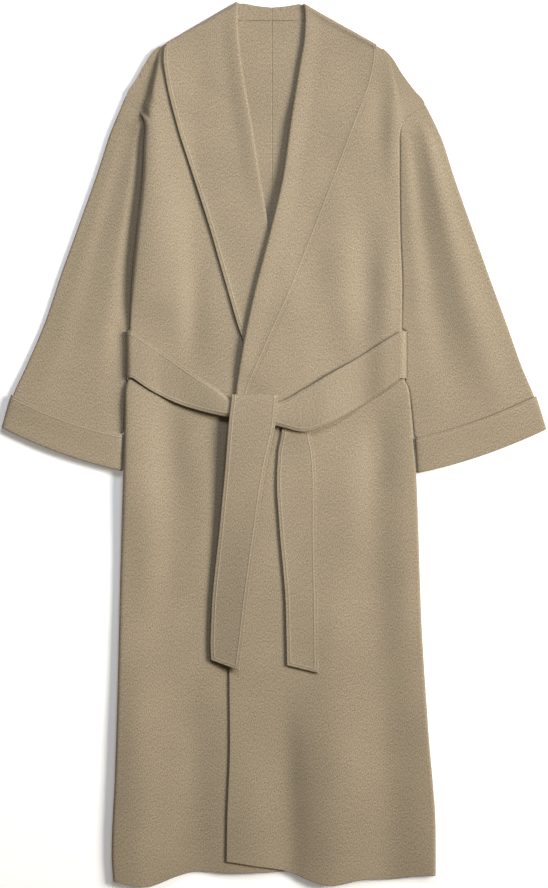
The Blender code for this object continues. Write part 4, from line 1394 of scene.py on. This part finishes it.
    def tie(self, hand: Hand) -> Sheet:
        """Return a hanging end. The left one folds over the knot and reaches back behind the strands.

        Args:
            hand: Which end.

        Returns:
            The sheet of that end.
        """
        table = hand.of(self.tie_left, self.tie_right)
        y, left, right, crown, lean = even_sections(table, self.tie_rows, ("y",))
        across = np.linspace(0, 1, self.columns)[None, :]
        x = left + (right - left) * across
        slant = hand.of(self.slant_left, self.slant_right)
        sewn = np.minimum((right - left) * (0.5 - np.abs(across - 0.5)), y - y[-1])
        y = y + slant * (1.0 - across) * Fade(y[-1, 0] + self.slant_reach, y[-1, 0]).at(y)
        z = self.tie_height(x, y, hand) - crown * (2 * across - 1)**self.crown_power + lean * across
        points = stack(x, y, z)
        if hand is Hand.LEFT:
            top = points[:1]
            turn = np.linspace(np.pi, 0, self.roll_rows + 1)[:-1, None]
            rise = self.roll_top - table[0].y
            over = top + stack(0 * turn, rise * np.sin(turn), -self.roll * (1 - np.cos(turn)))
            behind = top + np.array((0.0, -self.hook, -2 * self.roll))
            points = np.concatenate((behind, over, points))
            sewn = np.concatenate((np.repeat(sewn[:1], len(over) + 1, axis=0), sewn))
        return Sheet(f"belt_end_{hand.value}", points, CLOTH.belt_wall, Lie.LAID, ("front_right",), sewn)

    def back(self) -> Sheet:
        """Return the plain stretch under the back, between the ends of the two strands.

        Returns:
            The sheet of that stretch.
        """
        first, last = self.strand_left[0], self.strand_right[-1]
        left, right = first.x + self.end_gap, last.x - self.end_gap
        x = np.linspace(left, right, self.strand_rows)[:, None]
        across = np.linspace(0, 1, self.columns)[None, :]
        low = np.interp(x, (left, right), (first.low, last.low))
        high = np.interp(x, (left, right), (first.high, last.high))
        points = stack(x, low + (high - low) * across, CLOTH.belt_wall / 2)
        return Sheet("belt_back", points, CLOTH.belt_wall, Lie.LAID, ("back_left", "back_right"))


class Lamp(NamedTuple):
    """Soft square light: lengths in metres, the spread of its beam in degrees and its power in watts."""

    name: str
    place: tuple
    target: tuple
    size: float
    spread: float
    power: float
    colour: tuple


@dataclass(frozen=True)
class Studio:
    """Pale floor, soft light from the right and from past the collar, and a camera straight above."""

    floor_size: float = 12.0
    floor_drop: float = 0.0006
    floor_colour: tuple = (0.93, 0.93, 0.925, 1.0)
    floor_glow: float = 0.2
    world_colour: tuple = (1.0, 0.82, 0.58, 1.0)
    world_strength: float = 0.105
    lamps: tuple = (
        Lamp("key", (3.5, 0.9, 3.2), (0.0, 0.16, 0.0), 2.2, 46.0, 32.0, (1.0, 0.985, 0.93)),
        Lamp("top", (0.15, 1.45, 1.9), (0.0, 0.15, 0.0), 0.7, 60.0, 2.7, (0.9, 1.0, 1.14)),
    )
    camera_height: float = 6.0
    view_height: float = 1.3027
    sensor: float = 24.0

    def build(self) -> None:
        """Make the floor, the world, the lights and the camera."""
        self._floor()
        self._world()
        for lamp in self.lamps:
            self._light(lamp)
        self._camera()

    def _floor(self) -> None:
        """Make the floor, a plain pale square that glows a little, as a sweep lit from behind does."""
        half = self.floor_size / 2
        mesh = bpy.data.meshes.new("floor")
        corners = [(-half, -half), (half, -half), (half, half), (-half, half)]
        mesh.from_pydata([(x, y, -self.floor_drop) for x, y in corners], [], [(0, 1, 2, 3)])
        floor = bpy.data.objects.new("floor", mesh)
        bpy.context.scene.collection.objects.link(floor)
        paint = bpy.data.materials.new("floor_paint")
        paint.use_nodes = True
        set_inputs(paint.node_tree.nodes["Principled BSDF"], {
            "Base Color": self.floor_colour, "Roughness": 1.0, "Specular IOR Level": 0.0,
            "Emission Color": (1.0, 1.0, 1.0, 1.0), "Emission Strength": self.floor_glow})
        mesh.materials.append(paint)

    def _world(self) -> None:
        """Make the even light from all round, and show colours plainly."""
        world = bpy.data.worlds.new("studio")
        world.use_nodes = True
        light = {"Color": self.world_colour, "Strength": self.world_strength}
        set_inputs(world.node_tree.nodes["Background"], light)
        bpy.context.scene.world = world
        bpy.context.scene.view_settings.view_transform = "Standard"

    def _light(self, lamp: Lamp) -> None:
        """Make one soft light, turned to its target.

        Args:
            lamp: The light to make.
        """
        data = bpy.data.lights.new(lamp.name, "AREA")
        data.size = lamp.size
        data.spread = np.radians(lamp.spread)
        data.energy = lamp.power
        data.color = lamp.colour
        light = bpy.data.objects.new(lamp.name, data)
        x, y, z = np.subtract(lamp.place, lamp.target)
        light.location = lamp.place
        light.rotation_euler = (np.arctan2(np.hypot(x, y), z), 0.0, np.arctan2(x, -y))
        bpy.context.scene.collection.objects.link(light)

    def _camera(self) -> None:
        """Make the camera, framing the photograph's height from straight above."""
        lens = bpy.data.cameras.new("camera")
        lens.sensor_fit = "VERTICAL"
        lens.sensor_height = self.sensor
        lens.lens = self.sensor * self.camera_height / self.view_height
        camera = bpy.data.objects.new("camera", lens)
        camera.location = (0.0, 0.0, self.camera_height)
        bpy.context.scene.collection.objects.link(camera)
        bpy.context.scene.camera = camera


def main() -> None:
    """Build the coat piece by piece, then the studio, and note the size of each piece's cut."""
    logging.basicConfig(level=logging.INFO, format="%(message)s")
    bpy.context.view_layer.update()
    body = Body()
    collar, belt = Collar(body), Belt(body)
    sleeves = Sleeves(body, belt)
    sheets = [belt.back()]
    for hand in Hand:
        sheets += [body.back(hand), body.front(hand), collar.half(hand)]
        sheets += [sleeves.sleeve(hand), sleeves.cuff(hand), belt.strand(hand), belt.tie(hand)]
    finish = Wool()
    for sheet in sheets:
        piece = sheet.make(finish)
        LOG.info("made %s", piece.name)
    Studio().build()
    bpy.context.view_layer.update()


if __name__ == "__main__":
    main()
